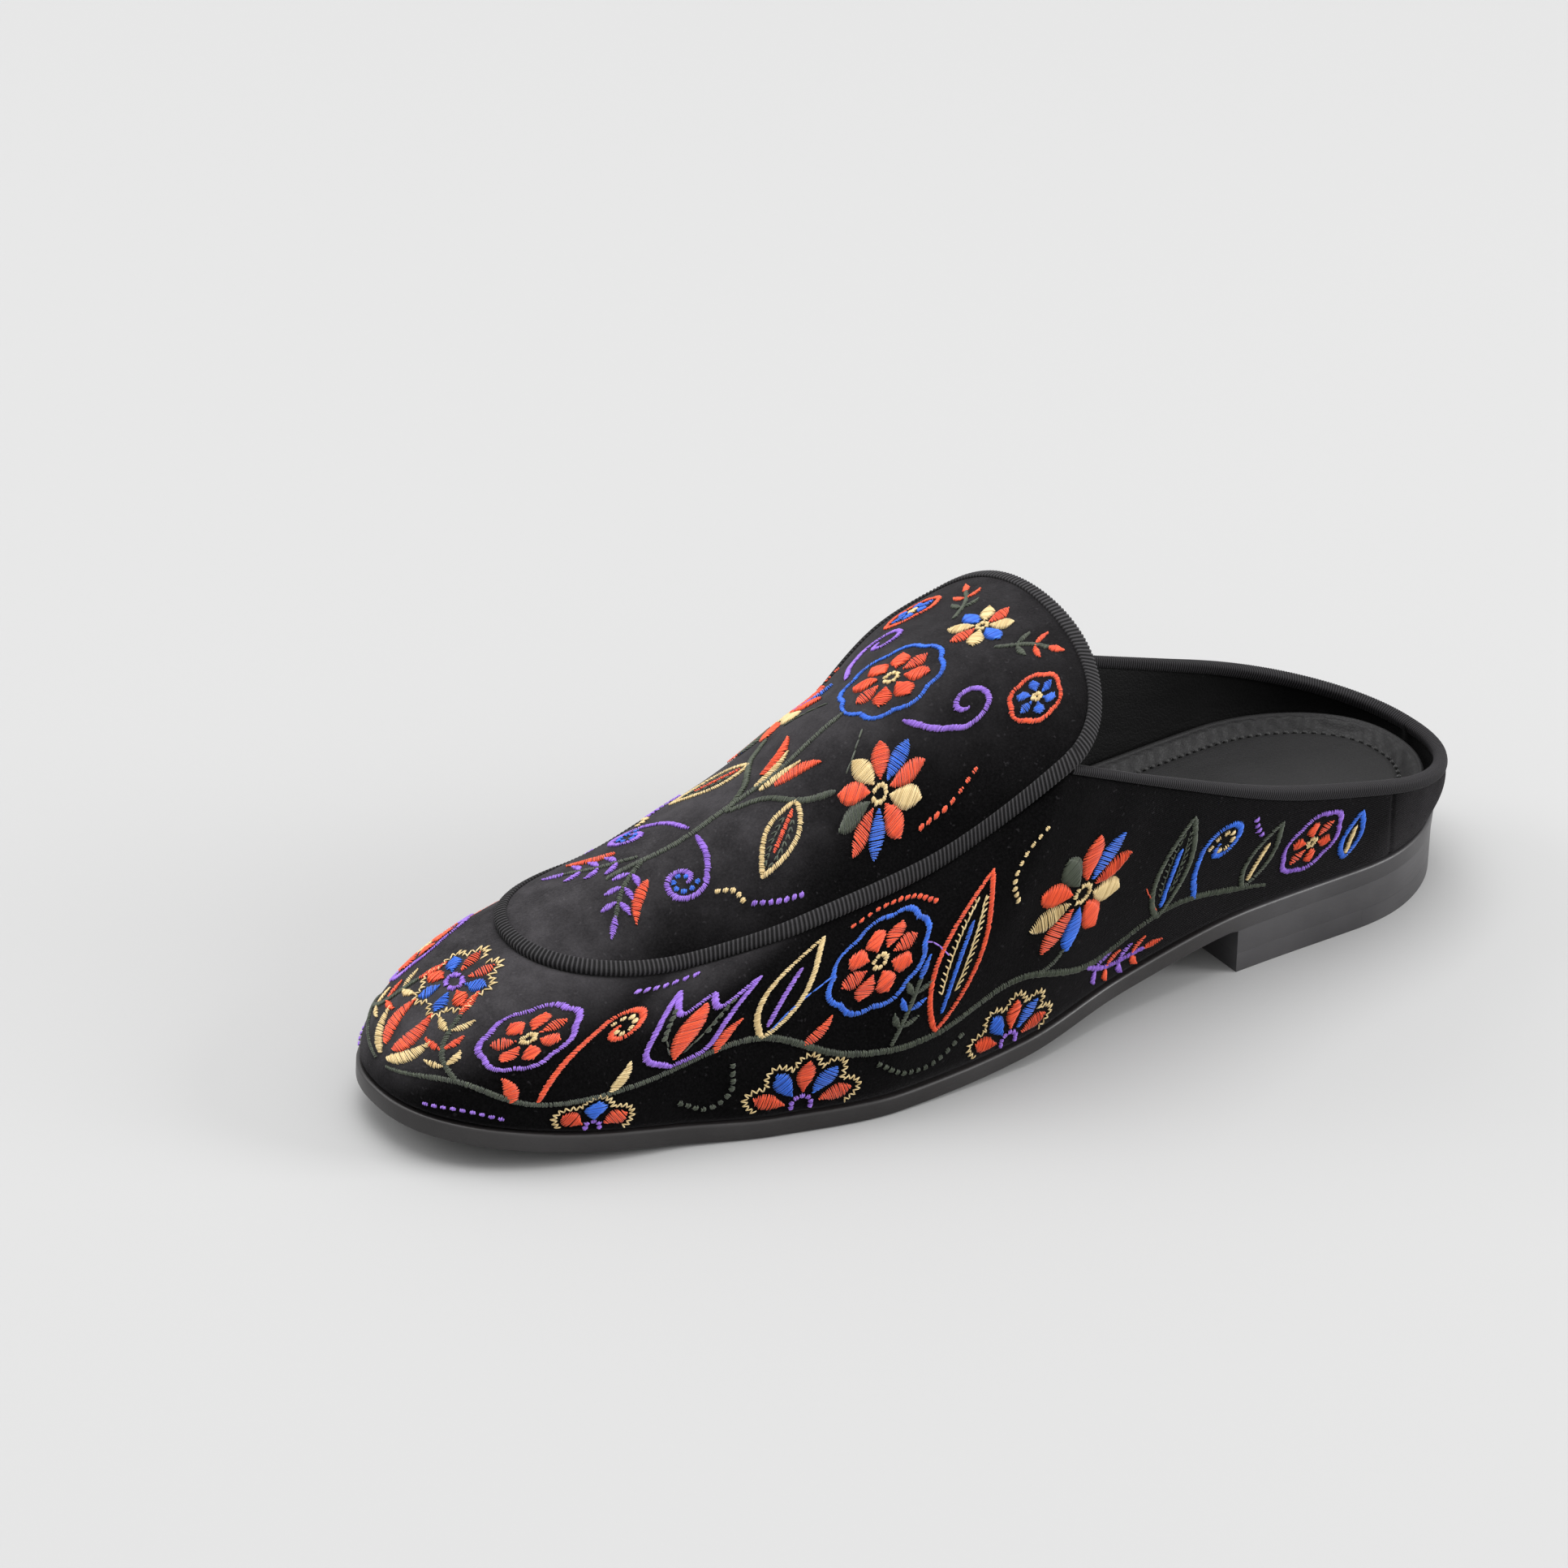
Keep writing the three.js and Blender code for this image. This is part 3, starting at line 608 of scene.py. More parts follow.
def stitches(name, start, end, up, width, rise, tone):
    """Thread stitches as closed three-sided strips, one row of points for each of four sections.

    A section lies a share of the way from start to end, lifted by rise times half a sine wave; its left,
    crest and right points are half a width to each side and 0.6 of a width up, narrowed at both ends."""
    share = np.array([0.0, 0.22, 0.78, 1.0])
    narrow = np.array([0.5, 1.0, 1.0, 0.5])[None, :, None]
    along = end - start
    side = np.cross(along, up)
    side = side / np.maximum(np.linalg.norm(side, axis=1, keepdims=True), 1e-9)
    half = width * narrow / 2
    lift = rise[:, None] * np.sin(np.pi * share)
    middle = start[:, None] + along[:, None] * share[:, None] + up[:, None] * lift[..., None]
    crest = middle + up[:, None] * half * 1.2
    points = np.stack([middle - side[:, None] * half, crest, middle + side[:, None] * half], 2)
    first = np.arange(len(start))[:, None, None] * 12
    quads = (strip_faces(4, 3, loop_columns=True)[:, ::-1] + first).reshape(-1, 4)
    caps = (np.array([[2, 1, 0], [9, 10, 11]]) + first).reshape(-1, 3)
    piece = new_piece(name, points.reshape(-1, 3), quads.tolist() + caps.tolist())
    store(piece, "tone", np.repeat(tone, 12))
    return piece


def thread(name, dark, light, rough):
    """Twisted thread: its colour varies from stitch to stitch by the tone attribute, with a silky gloss."""
    material, shader, paint = finish_of(name, Specular_IOR_Level=0.5, Sheen_Weight=0.2, Sheen_Roughness=0.4)
    tone = paint.node("Attribute", {"attribute_name": "tone"}, out="Fac")
    place = object_place(paint)
    fibre = place.noise(5200.0, 2.0)
    link(
        shader,
        Base_Color=(tone * 0.7 + fibre * 0.3).colours(dark, light),
        Roughness=rough + fibre * 0.2,
        Normal=fibre.bump(0.00006, 0.5),
    )
    return material


sock_loop = sole_loop(SOCK_INSET, 900)
sock = plate("sock_lining_leather", sock_loop, sock_rings(), SOCK_SPINE)
sock_leather = lining_leather("sock_leather", (0.0036, 0.0034, 0.0037), (0.0070, 0.0066, 0.0073), 0.27)
sock.data.materials.append(sock_leather)
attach(sock, "root")
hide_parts("sock_lining")

stitch_loop = even_loop(sock_loop - loop_outward(sock_loop) * SOCK_STITCH_INSET, 900)
stitch_count = int(np.linalg.norm(np.diff(stitch_loop, axis=0), axis=1).sum() / SOCK_STITCH)
stitch_plan = even_loop(stitch_loop, stitch_count)
stitch_line = np.column_stack([stitch_plan, sock_height(SOCK_STITCH_HEIGHT)(*stitch_plan.T)])
stitch_step = np.roll(stitch_line, -1, axis=0) - stitch_line
sock_stitches = stitches(
    "sock_stitches",
    stitch_line + stitch_step * SOCK_STITCH_FROM,
    stitch_line + stitch_step * SOCK_STITCH_TO,
    np.repeat([[0.0, 0.0, 1.0]], stitch_count, 0),
    SOCK_STITCH_WIDTH,
    np.full(stitch_count, SOCK_STITCH_RISE),
    np.full(stitch_count, 0.5),
)
sock_stitches.data.materials.append(thread("sock_thread", (0.002, 0.002, 0.002), (0.006, 0.006, 0.006), 0.6))
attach(sock_stitches, "root")

# Upper. Velvet quarters and vamp in one ring, lasted over a stiffener and lined with thin leather; a
# vertical seam joins a narrow heel strip at the back, and a few soft creases lie where the shoe flexes.
COLLAR = np.array([  # at, lateral half-width, medial half-width, height of the top line
    (-0.002, 28.5, 29.8, 26.3),
    (0.12, 33.2, 30.8, 35.0),
    (0.26, 35.1, 33.6, 44.2),
    (0.38, 35.5, 32.0, 55.4),
    (0.49, 36.6, 29.6, 67.2),
])
SEAM = np.array([  # at, lateral half-width, medial half-width, height of the apron's edge
    (0.42, 25.1, 26.9, 76.1),
    (0.49, 36.6, 29.6, 67.2),
    (0.60, 29.5, 25.6, 47.1),
    (0.70, 26.2, 24.4, 40.2),
    (0.79, 17.1, 25.5, 33.0),
    (0.878, 16.8, 27.6, 33.8),
])
RIDGE = np.array([  # at, height of the apron's ridge
    (0.426, 86.0),
    (0.52, 80.7),
    (0.61, 70.0),
    (0.68, 57.8),
    (0.75, 47.9),
    (0.82, 40.2),
    (0.878, 33.8),
])
WALL_SHAPE = np.array([  # at, degrees that the wall turns inwards, how far it swells outwards
    (-0.002, 30, 2.0),
    (0.2, 30, 1.5),
    (0.49, 50, 2.0),
    (0.70, 55, 0.0),
    (0.878, 54, 1.2),
])
COLLAR_ROUND = (0.16, 2.2)
SEAM_ROUND = (0.112, 2.1)
HEEL_SEAM_STATIONS = np.linspace(0.092, 0.138, 80)
BACK = COLLAR[0, 0]
CORNER = COLLAR[-1, 0]
FRONT = SEAM[-1, 0]
TONGUE_END = RIDGE[0, 0]
TONGUE_SQUARENESS = 4.0
APRON_CROWN = np.radians(45)
APRON_STEP = 0.8
WALE = 0.058
# Painted light on the velvet: faces turned towards the key light's direction are painted lighter, between a
# first and a full step; the back strip and the toe get their own shares.
PAINTED_LIGHT_WAY = np.array([0.36, -0.46, 0.81])
PAINTED_LIGHT_FROM = 0.18
PAINTED_LIGHT_FULL = 0.95
BACK_PAINTED_LIGHT = 0.22
TOE_PAINTED_LIGHT = (0.62, 0.84)


def edge_point(table, at, side, share):
    """A point of a top line: station, centre line plus half-width, and the height in column 3."""
    centre, half = spread(table, at, share)
    return np.stack([(at - 0.5) * LENGTH, centre + side * half, curve(table, 3, at)], -1)


def collar_edge(at, side):
    """Top line of the quarters, round the heel to the tongue's corner."""
    return edge_point(COLLAR, at, side, round_end(at - BACK, COLLAR_ROUND))


def seam_edge(at, side):
    """Top line of the vamp, which is the apron's edge, from the corner round the toe."""
    return edge_point(SEAM, at, side, round_end(FRONT - at, SEAM_ROUND))


def feather(at, side):
    """Foot of the upper on the outsole, at the same share of the way as its top line."""
    under = np.clip((at - BACK) / (FRONT - BACK), 0, 1)
    plan = sole_edge(under, side, FEATHER_INSET)
    return np.concatenate([plan, (underside(under) + SOLE_THICKNESS)[..., None]], -1)


def wall(at, side, rise):
    """Side wall: an arc that leaves the sole upright and turns in to the top line, plus a sine swell."""
    foot = feather(at, side)
    top = np.where((at < CORNER)[..., None], collar_edge(at, side), seam_edge(at, side))
    turn = np.radians(curve(WALL_SHAPE, 1, at))
    inward = ((1 - np.cos(turn * rise)) / (1 - np.cos(turn)))[..., None]
    upward = (np.sin(turn * rise) / np.sin(turn))[..., None]
    along = feather(np.minimum(at + 0.002, FRONT), side) - feather(np.maximum(at - 0.002, BACK), side)
    outward = np.stack([-along[..., 1] * side, along[..., 0] * side, np.zeros_like(at)], -1)
    outward /= np.linalg.norm(outward, axis=-1, keepdims=True)
    swell = (curve(WALL_SHAPE, 2, at) * np.sin(np.pi * rise))[..., None]
    mix = np.concatenate([inward, inward, upward], -1)
    return foot + (top - foot) * mix + outward * swell


def apron_height(x, y):
    """Height of the apron over the plan: an arc across the foot from the ridge down to the edge."""
    at = x / LENGTH + 0.5
    centre, half = spread(SEAM, at, round_end(FRONT - at, SEAM_ROUND))
    sideways = np.minimum(np.abs(y - centre) / np.maximum(half, 1e-6), 1.3)
    angle = np.arcsin(sideways * np.sin(APRON_CROWN))
    drop = (1 - np.cos(angle)) / (1 - np.cos(APRON_CROWN))
    ridge = curve(RIDGE, 1, at)
    return ridge + (curve(SEAM, 3, at) - ridge) * drop


def apron(along, across):
    """Apron: along 0 at the tongue's free end to 1 at the toe, across +1 lateral to -1 medial."""
    reach = np.abs(across)
    rounding = 1 - (1 - reach ** TONGUE_SQUARENESS) ** (1 / TONGUE_SQUARENESS)
    start = TONGUE_END + (CORNER - TONGUE_END) * rounding
    at = start + (FRONT - start) * along
    centre, half = spread(SEAM, at, round_end(FRONT - at, SEAM_ROUND))
    x = (at - 0.5) * LENGTH
    y = centre + half * np.sin(APRON_CROWN * across) / np.sin(APRON_CROWN)
    return np.stack([x, y, apron_height(x, y)], -1)


def grid_normals(points, loop_rows=False):
    """Unit normals of a grid of points from the cross product of its two directions."""
    if loop_rows:
        down = np.roll(points, -1, axis=0) - np.roll(points, 1, axis=0)
    else:
        down = np.gradient(points, axis=0)
    normal = np.cross(down, np.gradient(points, axis=1))
    return normal / np.maximum(np.linalg.norm(normal, axis=-1, keepdims=True), 1e-12)


def trough(points, start, end, width, depth):
    """How deep a soft crease is at each point: a bell curve of the distance to its line."""
    line = np.asarray(end, float) - start
    share = np.clip(((points - start) @ line) / (line @ line), 0, 1)
    distance = np.linalg.norm(points - (start + share[..., None] * line), axis=-1)
    return depth * np.exp(-((distance / width) ** 2))


CREASES = [  # start and end of the line in the shoe's own frame, width, depth
    ((-16, 39, 56), (8, 43, 34), 5.0, 0.45),
    ((-30, 37, 50), (-14, 39, 30), 6.0, 0.35),
    ((6, 38, 54), (30, 42, 26), 6.0, -0.30),
    ((34, 36, 36), (48, 41, 22), 5.0, 0.30),
    ((-16, -34, 56), (6, -36, 34), 5.0, 0.45),
    ((10, -34, 50), (32, -38, 26), 6.0, -0.30),
    ((26, -14, 68), (24, 16, 68), 6.0, 0.40),
    ((42, -12, 58), (40, 14, 58), 6.0, 0.35),
]


def creased(points, normals):
    """Points moved in along their normals by the sum of all creases."""
    depth = 0
    for start, end, width, deep in CREASES:
        depth = depth + trough(points, np.array(start, float), end, width, deep)
    return points - normals * depth[..., None]


def wall_stations(count):
    """Stations of the ring: lateral side to the toe, then medial side back; closer at the back seam."""
    at = np.unique(np.concatenate([BACK + (FRONT - BACK) * eased(count), HEEL_SEAM_STATIONS]))
    side = np.concatenate([np.ones(len(at)), -np.ones(len(at) - 2)])
    return np.concatenate([at, at[-2:0:-1]]), side


def shell(name, outer, inner, uv, loop_rows):
    """A closed sheet: outer and inner grids joined by rims; inner faces take the second material."""
    rows, columns = outer.shape[:2]
    count = rows * columns
    outer_faces = strip_faces(rows, columns, loop_rows)
    inner_faces = strip_faces(rows, columns, loop_rows, start=count)[:, ::-1]
    line = np.arange(rows)
    steps = rows if loop_rows else rows - 1

    def rim(edge):
        """Quads that join a line of the outer grid to the same line of the inner one."""
        here = edge[:-1] if len(edge) > steps else edge
        there = np.roll(edge, -1)[: len(here)]
        return np.stack([here, here + count, there + count, there], -1)

    rims = [rim(line * columns), rim(line * columns + columns - 1)[:, ::-1]]
    if not loop_rows:
        across = np.arange(columns)
        ends = (across, across + (rows - 1) * columns)
        rims += [np.stack([e[:-1], e[1:], e[1:] + count, e[:-1] + count], -1) for e in ends]
        rims[-1] = rims[-1][:, ::-1]
    faces = np.concatenate([outer_faces, inner_faces, *rims])
    points = np.concatenate([outer.reshape(-1, 3), inner.reshape(-1, 3)])
    piece = new_piece(name, points, faces.tolist(), np.concatenate([uv.reshape(-1, 2)] * 2))
    kind = np.zeros(len(faces), np.int32)
    kind[len(outer_faces): len(outer_faces) + len(inner_faces)] = 1
    piece.data.polygons.foreach_set("material_index", kind)
    return piece


def surface_uv(points):
    """Distances along both directions of a grid, in centimetres, so that a wale keeps its size."""
    down = np.linalg.norm(np.diff(points, axis=0), axis=-1)
    along = np.linalg.norm(np.diff(points, axis=1), axis=-1)
    u = np.concatenate([np.zeros((1, points.shape[1])), np.cumsum(down, 0)])
    v = np.concatenate([np.zeros((points.shape[0], 1)), np.cumsum(along, 1)], 1)
    middle = u[:, u.shape[1] // 2]
    return np.stack([np.repeat(middle[:, None], v.shape[1], 1), v], -1) / 10


def store_painted_light(piece, normals, part, more=0.0):
    """Stores painted light: a smooth step of the normal's part along the way the key light comes from."""
    painted_light = smooth(normals @ PAINTED_LIGHT_WAY, PAINTED_LIGHT_FROM, PAINTED_LIGHT_FULL) * part + more
    store(piece, "painted_light", np.concatenate([painted_light.ravel(), 0 * painted_light.ravel()]))


def velvet(name, wales, glow):
    """Cotton velvet: black pile, with painted light where it faces the key light, and lighter at grazing
    angles.

    The colour's share is a sum of soft patches and single hairs, times the painted light share, plus a little
    fuzz and lint everywhere and, behind the arch, fine wales."""
    material, shader, paint = finish_of(
        name,
        Specular_IOR_Level=0.025,
        Sheen_Weight=glow,
        Sheen_Roughness=0.32,
        Sheen_Tint=(0.85, 0.82, 0.86, 1.0),
    )
    place = object_place(paint)
    surface = paint.node("UVMap", {"uv_map": "surface"})
    height = paint.node("SeparateXYZ", {}, "Y", Vector=surface)
    rear = 1 - paint.node("SeparateXYZ", {}, "X", Vector=place).band(-0.05, 0.01)
    painted_light_share = paint.node("Attribute", {"attribute_name": "painted_light"}, "Fac")
    wobble = place.noise(60.0, 2.0)
    lines = ((height * (2 * np.pi / WALE) + wobble * 5.0).sine() * 0.5 + 0.5) * rear * wales
    patch = place.noise(34.0, 4.0, 0.6).band(0.3, 0.75)
    mark = place.noise(170.0, 3.0).band(0.35, 0.7)
    pile = place.noise(1900.0, 5.0, 0.75)
    lint = place.noise(950.0, 1.0).band(0.70, 0.75)
    fuzz = pile.band(0.38, 0.72) * 0.04 + lint * 0.12 + lines * 0.024
    # Painted light: patches and hairs show only where faces turn to the key light; elsewhere the pile stays
    # near black.
    shade = (patch * 0.35 + mark * 0.2 + pile * 0.5) * (0.03 + painted_light_share * 0.97) + fuzz
    link(
        shader,
        Base_Color=shade.colours((0.0006, 0.0006, 0.0006), (0.084, 0.079, 0.085)),
        Roughness=0.78 + pile * 0.2,
        Normal=(pile * 0.9 + lines * 0.3).bump(0.00040, 0.7),
    )
    return material


WALL_ROWS = 46
TUCK = 1.3
TUCK_FROM = 0.965
FOOT_ROLL = 0.9
FOOT_ROLL_TO = 1 / 24
HEEL_SEAM = ((0.130, 0.90), (0.099, 0.0))  # station and rise of the back seam's top and foot
HEEL_SEAM_DEPTH = 0.38
HEEL_SEAM_WIDTH = 0.6
LINING_RIDGE = 0.7
LINING_RIDGE_WIDTH = 1.3


def heel_seam(points, side):
    """Depth of one back seam: a bell curve of the distance to the nearest of 90 places on the wall."""
    line = np.linspace(HEEL_SEAM[1], HEEL_SEAM[0], 90)
    places = wall(line[:, 0], np.full(90, side), line[:, 1])
    near = np.linalg.norm(points[:, :, None] - places, axis=-1).min(-1) / HEEL_SEAM_WIDTH
    return HEEL_SEAM_DEPTH * np.exp(-(near ** 2))


ring_at, ring_side = wall_stations(330)
rise_steps = np.linspace(0, 1, WALL_ROWS)
wall_points = wall(*np.broadcast_arrays(ring_at[:, None], ring_side[:, None], rise_steps))
wall_normals = grid_normals(wall_points, loop_rows=True)
wall_normals *= np.sign(wall_normals[100, 20, 1])  # a place on the lateral side tells which way is out
seams = np.maximum(heel_seam(wall_points, 1.0), heel_seam(wall_points, -1.0))
tuck = TUCK * smooth(rise_steps, TUCK_FROM, 1.0)
foot_roll = FOOT_ROLL * np.clip(1 - rise_steps / FOOT_ROLL_TO, 0, 1) ** 2
wall_skin = creased(wall_points, wall_normals) - wall_normals * (seams + tuck + foot_roll)[..., None]
back_aside = (wall_points[..., 1] - wall_points[0, :, 1]) / LINING_RIDGE_WIDTH
back_ridge = LINING_RIDGE * np.exp(-(back_aside ** 2)) * (wall_points[..., 0] < 0)
wall_lining = wall_points - wall_normals * (WALL + back_ridge)[..., None]
quarters = shell("velvet_quarters", wall_skin[::-1], wall_lining[::-1], surface_uv(wall_skin)[::-1], True)
side_velvet = velvet("side_velvet", 1.0, 0.07)
inside_leather = lining_leather("lining_leather", (0.0008, 0.0008, 0.0008), (0.0022, 0.0021, 0.0022), 0.11)
# Painted light on the quarters: faces turned to the key light are painted lighter only towards the toe, and
# the back strip behind the heel seam is painted a little lighter all over.
ring_back = ring_at[::-1, None]
back_strip_painted_light = BACK_PAINTED_LIGHT * (1 - smooth(ring_back, HEEL_SEAM[1][0], HEEL_SEAM[0][0]))
store_painted_light(quarters, wall_normals[::-1], smooth(ring_back, *TOE_PAINTED_LIGHT), back_strip_painted_light)
quarters.data.materials.append(side_velvet)
quarters.data.materials.append(inside_leather)
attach(quarters, "root")
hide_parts("upper")

# Apron and tongue. A second velvet panel set on top of the quarters over the instep, without wales so that
# it looks smoother, with more painted light; lined with the same leather under the tongue.
APRON_ROWS = 240
APRON_COLUMNS = 130
APRON_SHARE = 0.98
APRON_PAINTED_LIGHT = 0.42
APRON_PAINTED_LIGHT_MORE = 0.50
APRON_PAINTED_LIGHT_RISES = (0.45, 0.72)
apron_along = np.sin(np.linspace(0, np.pi / 2, APRON_ROWS + 1))[:-1, None]
apron_across = APRON_SHARE * np.sin(np.linspace(-np.pi / 2, np.pi / 2, APRON_COLUMNS))
apron_points = apron(*np.broadcast_arrays(apron_along, apron_across))
apron_normals = grid_normals(apron_points)
apron_normals *= np.sign(apron_normals[APRON_ROWS // 2, APRON_COLUMNS // 2, 2])
apron_skin = creased(apron_points + apron_normals * APRON_STEP, apron_normals)
apron_lining = apron_points - apron_normals * WALL
vamp = shell("velvet_apron", apron_skin, apron_lining, surface_uv(apron_skin), False)
apron_velvet = velvet("apron_velvet", 0.0, 0.12)
# Painted light on the apron: more than on the quarters, rising further towards the toe.
apron_at = apron_points[..., 0] / LENGTH + 0.5
store_painted_light(vamp, apron_normals, APRON_PAINTED_LIGHT + APRON_PAINTED_LIGHT_MORE * smooth(apron_at, *APRON_PAINTED_LIGHT_RISES))
vamp.data.materials.append(apron_velvet)
vamp.data.materials.append(inside_leather)
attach(vamp, "root")
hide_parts("upper")

# Apron binding. Ribbed ribbon folded over the apron's edge and sewn down, in one run round the tongue's
# free edge and along the seam round the toe; the ribs lie across it.
APRON_RIB = 0.95
APRON_RIB_DEPTH = 0.36
APRON_RIBBON_THICKNESS = 0.30
APRON_RIBBON_SHARE = 0.9
TOE_NARROWING = 0.30
END_NARROWING = 0.32
RIB_STEPS = 8


def unit(vectors):
    """Vectors scaled to a length of one."""
    return vectors / np.maximum(np.linalg.norm(vectors, axis=-1, keepdims=True), 1e-12)


def apron_loop():
    """The apron's edge as a loop: lateral seam to the toe, medial seam back, and the tongue's free end."""
    turn = np.linspace(0, np.pi / 2, 300)
    lateral = apron(np.sin(turn), np.ones(300))
    medial = apron(np.cos(turn), -np.ones(300))
    end = np.sin(np.linspace(-np.pi / 2, np.pi / 2, 300))
    tongue = apron(np.zeros(300), end)
    return np.concatenate([lateral[:-1], medial[:-1], tongue[:-1]])


def apron_frame(plan):
    """Points of the apron's base surface over a plan, and its normals by differences of the height."""
    x, y = plan[..., 0], plan[..., 1]
    step = 0.4
    slope_x = (apron_height(x + step, y) - apron_height(x - step, y)) / (2 * step)
    slope_y = (apron_height(x, y + step) - apron_height(x, y - step)) / (2 * step)
    normal = unit(np.stack([-slope_x, -slope_y, np.ones_like(x)], -1))
    return np.stack([x, y, apron_height(x, y)], -1), normal


def rib_wave(count):
    """Height of a rib along the ribbon: 1 on its back, 0 in the groove, as a rounded absolute sine."""
    return np.abs(np.sin(np.pi * (np.arange(count) % RIB_STEPS + 0.5) / RIB_STEPS)) ** 0.7


def ribbon_uv(count, columns):
    """Ribs along a ribbon and the share across it, for each of its points."""
    pair = np.broadcast_arrays(np.arange(count)[:, None] / RIB_STEPS, np.linspace(0, 1, columns))
    return np.stack(pair, -1).reshape(-1, 2)


def apron_ribbon():
    """A profile carried round the loop: down over the edge, up, across its back, to its inner edge.

    Each profile point is (inward, up): inward along the apron's surface, up along its normal; the back's
    height is the ribbon's thickness times the rib wave. On the tongue the profile also wraps below."""
    loop = apron_loop()
    length = np.linalg.norm(np.diff(np.concatenate([loop, loop[:1]]), axis=0), axis=1).sum()
    count = int(length / APRON_RIB) * RIB_STEPS
    edge = even_loop(loop, count)
    inward = -loop_outward(edge[:, :2][::-1])[::-1]
    wave = rib_wave(count)
    near, far = (apron_frame(edge[:, :2] + inward * reach)[0] for reach in (0.5, 2.0))
    steep = np.linalg.norm(far - near, axis=1) / 1.5
    free = np.clip((CORNER - 0.012 - (edge[:, 0] / LENGTH + 0.5)) / 0.010, 0, 1)
    toe = smooth(edge[:, 0] / LENGTH + 0.5, 0.60, 0.82)
    end = free * smooth(-edge[:, 1], -16.0, 6.0)
    narrow = APRON_RIBBON_SHARE * (1 - TOE_NARROWING * toe) * (1 - END_NARROWING * end)
    low = APRON_STEP + 0.02
    back = low + APRON_RIBBON_THICKNESS + APRON_RIB_DEPTH * wave
    wrap = -WALL - 0.5
    base = [
        (2.6 * free + 0.1 * (1 - free), free * (wrap + 0.35) - (1 - free) * 0.5),
        (2.4 * free, free * wrap - (1 - free) * 0.9),
        (0.6 * free - 0.4 * (1 - free), free * (wrap - 0.25 * wave) - (1 - free) * 1.1),
        (-0.55 - 0.1 * wave - 0.2 * (1 - free), free * (wrap + 0.7) - (1 - free) * 0.9),
        (-0.65 - 0.2 * wave - 0.1 * (1 - free), low - 0.45),
        (-0.45 - 0.2 * wave, back - 0.30),
        (0.10, back - 0.04),
        (1.0, back),
        (2.0, back),
        (2.75, back - 0.06),
        (3.0, back - 0.25),
        (3.05, low - 0.1),
        (1.5, low - 0.1),
        (0.3, free * (wrap + 1.4) + (1 - free) * (low - 0.1)),
    ]
    sections = []
    first = apron_frame(edge[:, :2] + inward * 0.5)[1]
    tangent = unit(apron_frame(edge[:, :2] + inward * 0.8)[0] - edge)
    for values in base:
        distance, up = np.broadcast_arrays(*values, wave)[:2]
        reach = np.maximum(distance, 0) * narrow / steep
        on, normal = apron_frame(edge[:, :2] + inward * reach[:, None])
        out = np.minimum(distance, 0)[:, None] * tangent
        normal = np.where((distance < 0.5)[:, None], first, normal)
        sections.append(on + out + normal * up[:, None])
    points = np.stack(sections, 1)
    faces = strip_faces(count, len(base), True, True)[:, ::-1]
    return new_piece("apron_ribbon", points.reshape(-1, 3), faces.tolist(), ribbon_uv(count, len(base)))


def ribbon(name, light):
    """Ribbed ribbon: black ribs, painted highlight on the rib backs and painted shade in the grooves; fine
    threads.
    """
    material, shader, paint = finish_of(
        name, Specular_IOR_Level=0.12, Sheen_Weight=0.04, Sheen_Roughness=0.4
    )
    place = object_place(paint)
    surface = paint.node("UVMap", {"uv_map": "surface"})
    along = paint.node("SeparateXYZ", {}, "X", Vector=surface)
    rib = (along * np.pi).sine()
    # Painted highlight on the rib backs and painted shade in the grooves, in step with the ribs' shape.
    back = (rib * rib).band(0.40, 1.0)
    fibre = place.noise(3200.0, 2.0)
    link(
        shader,
        Base_Color=(back * 0.75 + fibre * 0.25).colours((0.0024, 0.0024, 0.0025), light),
        Roughness=0.55 + fibre * 0.25,
        Normal=fibre.bump(0.00012, 0.5),
    )
    return material


apron_trim = apron_ribbon()
apron_trim.data.materials.append(ribbon("apron_ribbon", (0.054, 0.052, 0.055)))
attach(apron_trim, "root")
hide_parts("apron_binding")

# Collar binding. A narrower run of the same ribbon, folded over the top line from one corner of the
# tongue round the heel to the other, with finer ribs.
COLLAR_RIB = 0.64
COLLAR_RIB_DEPTH = 0.19
COLLAR_RIBBON_DEPTH = 2.1
COLLAR_TAPER = 0.34
COLLAR_RIBBON_THICKNESS = 0.34


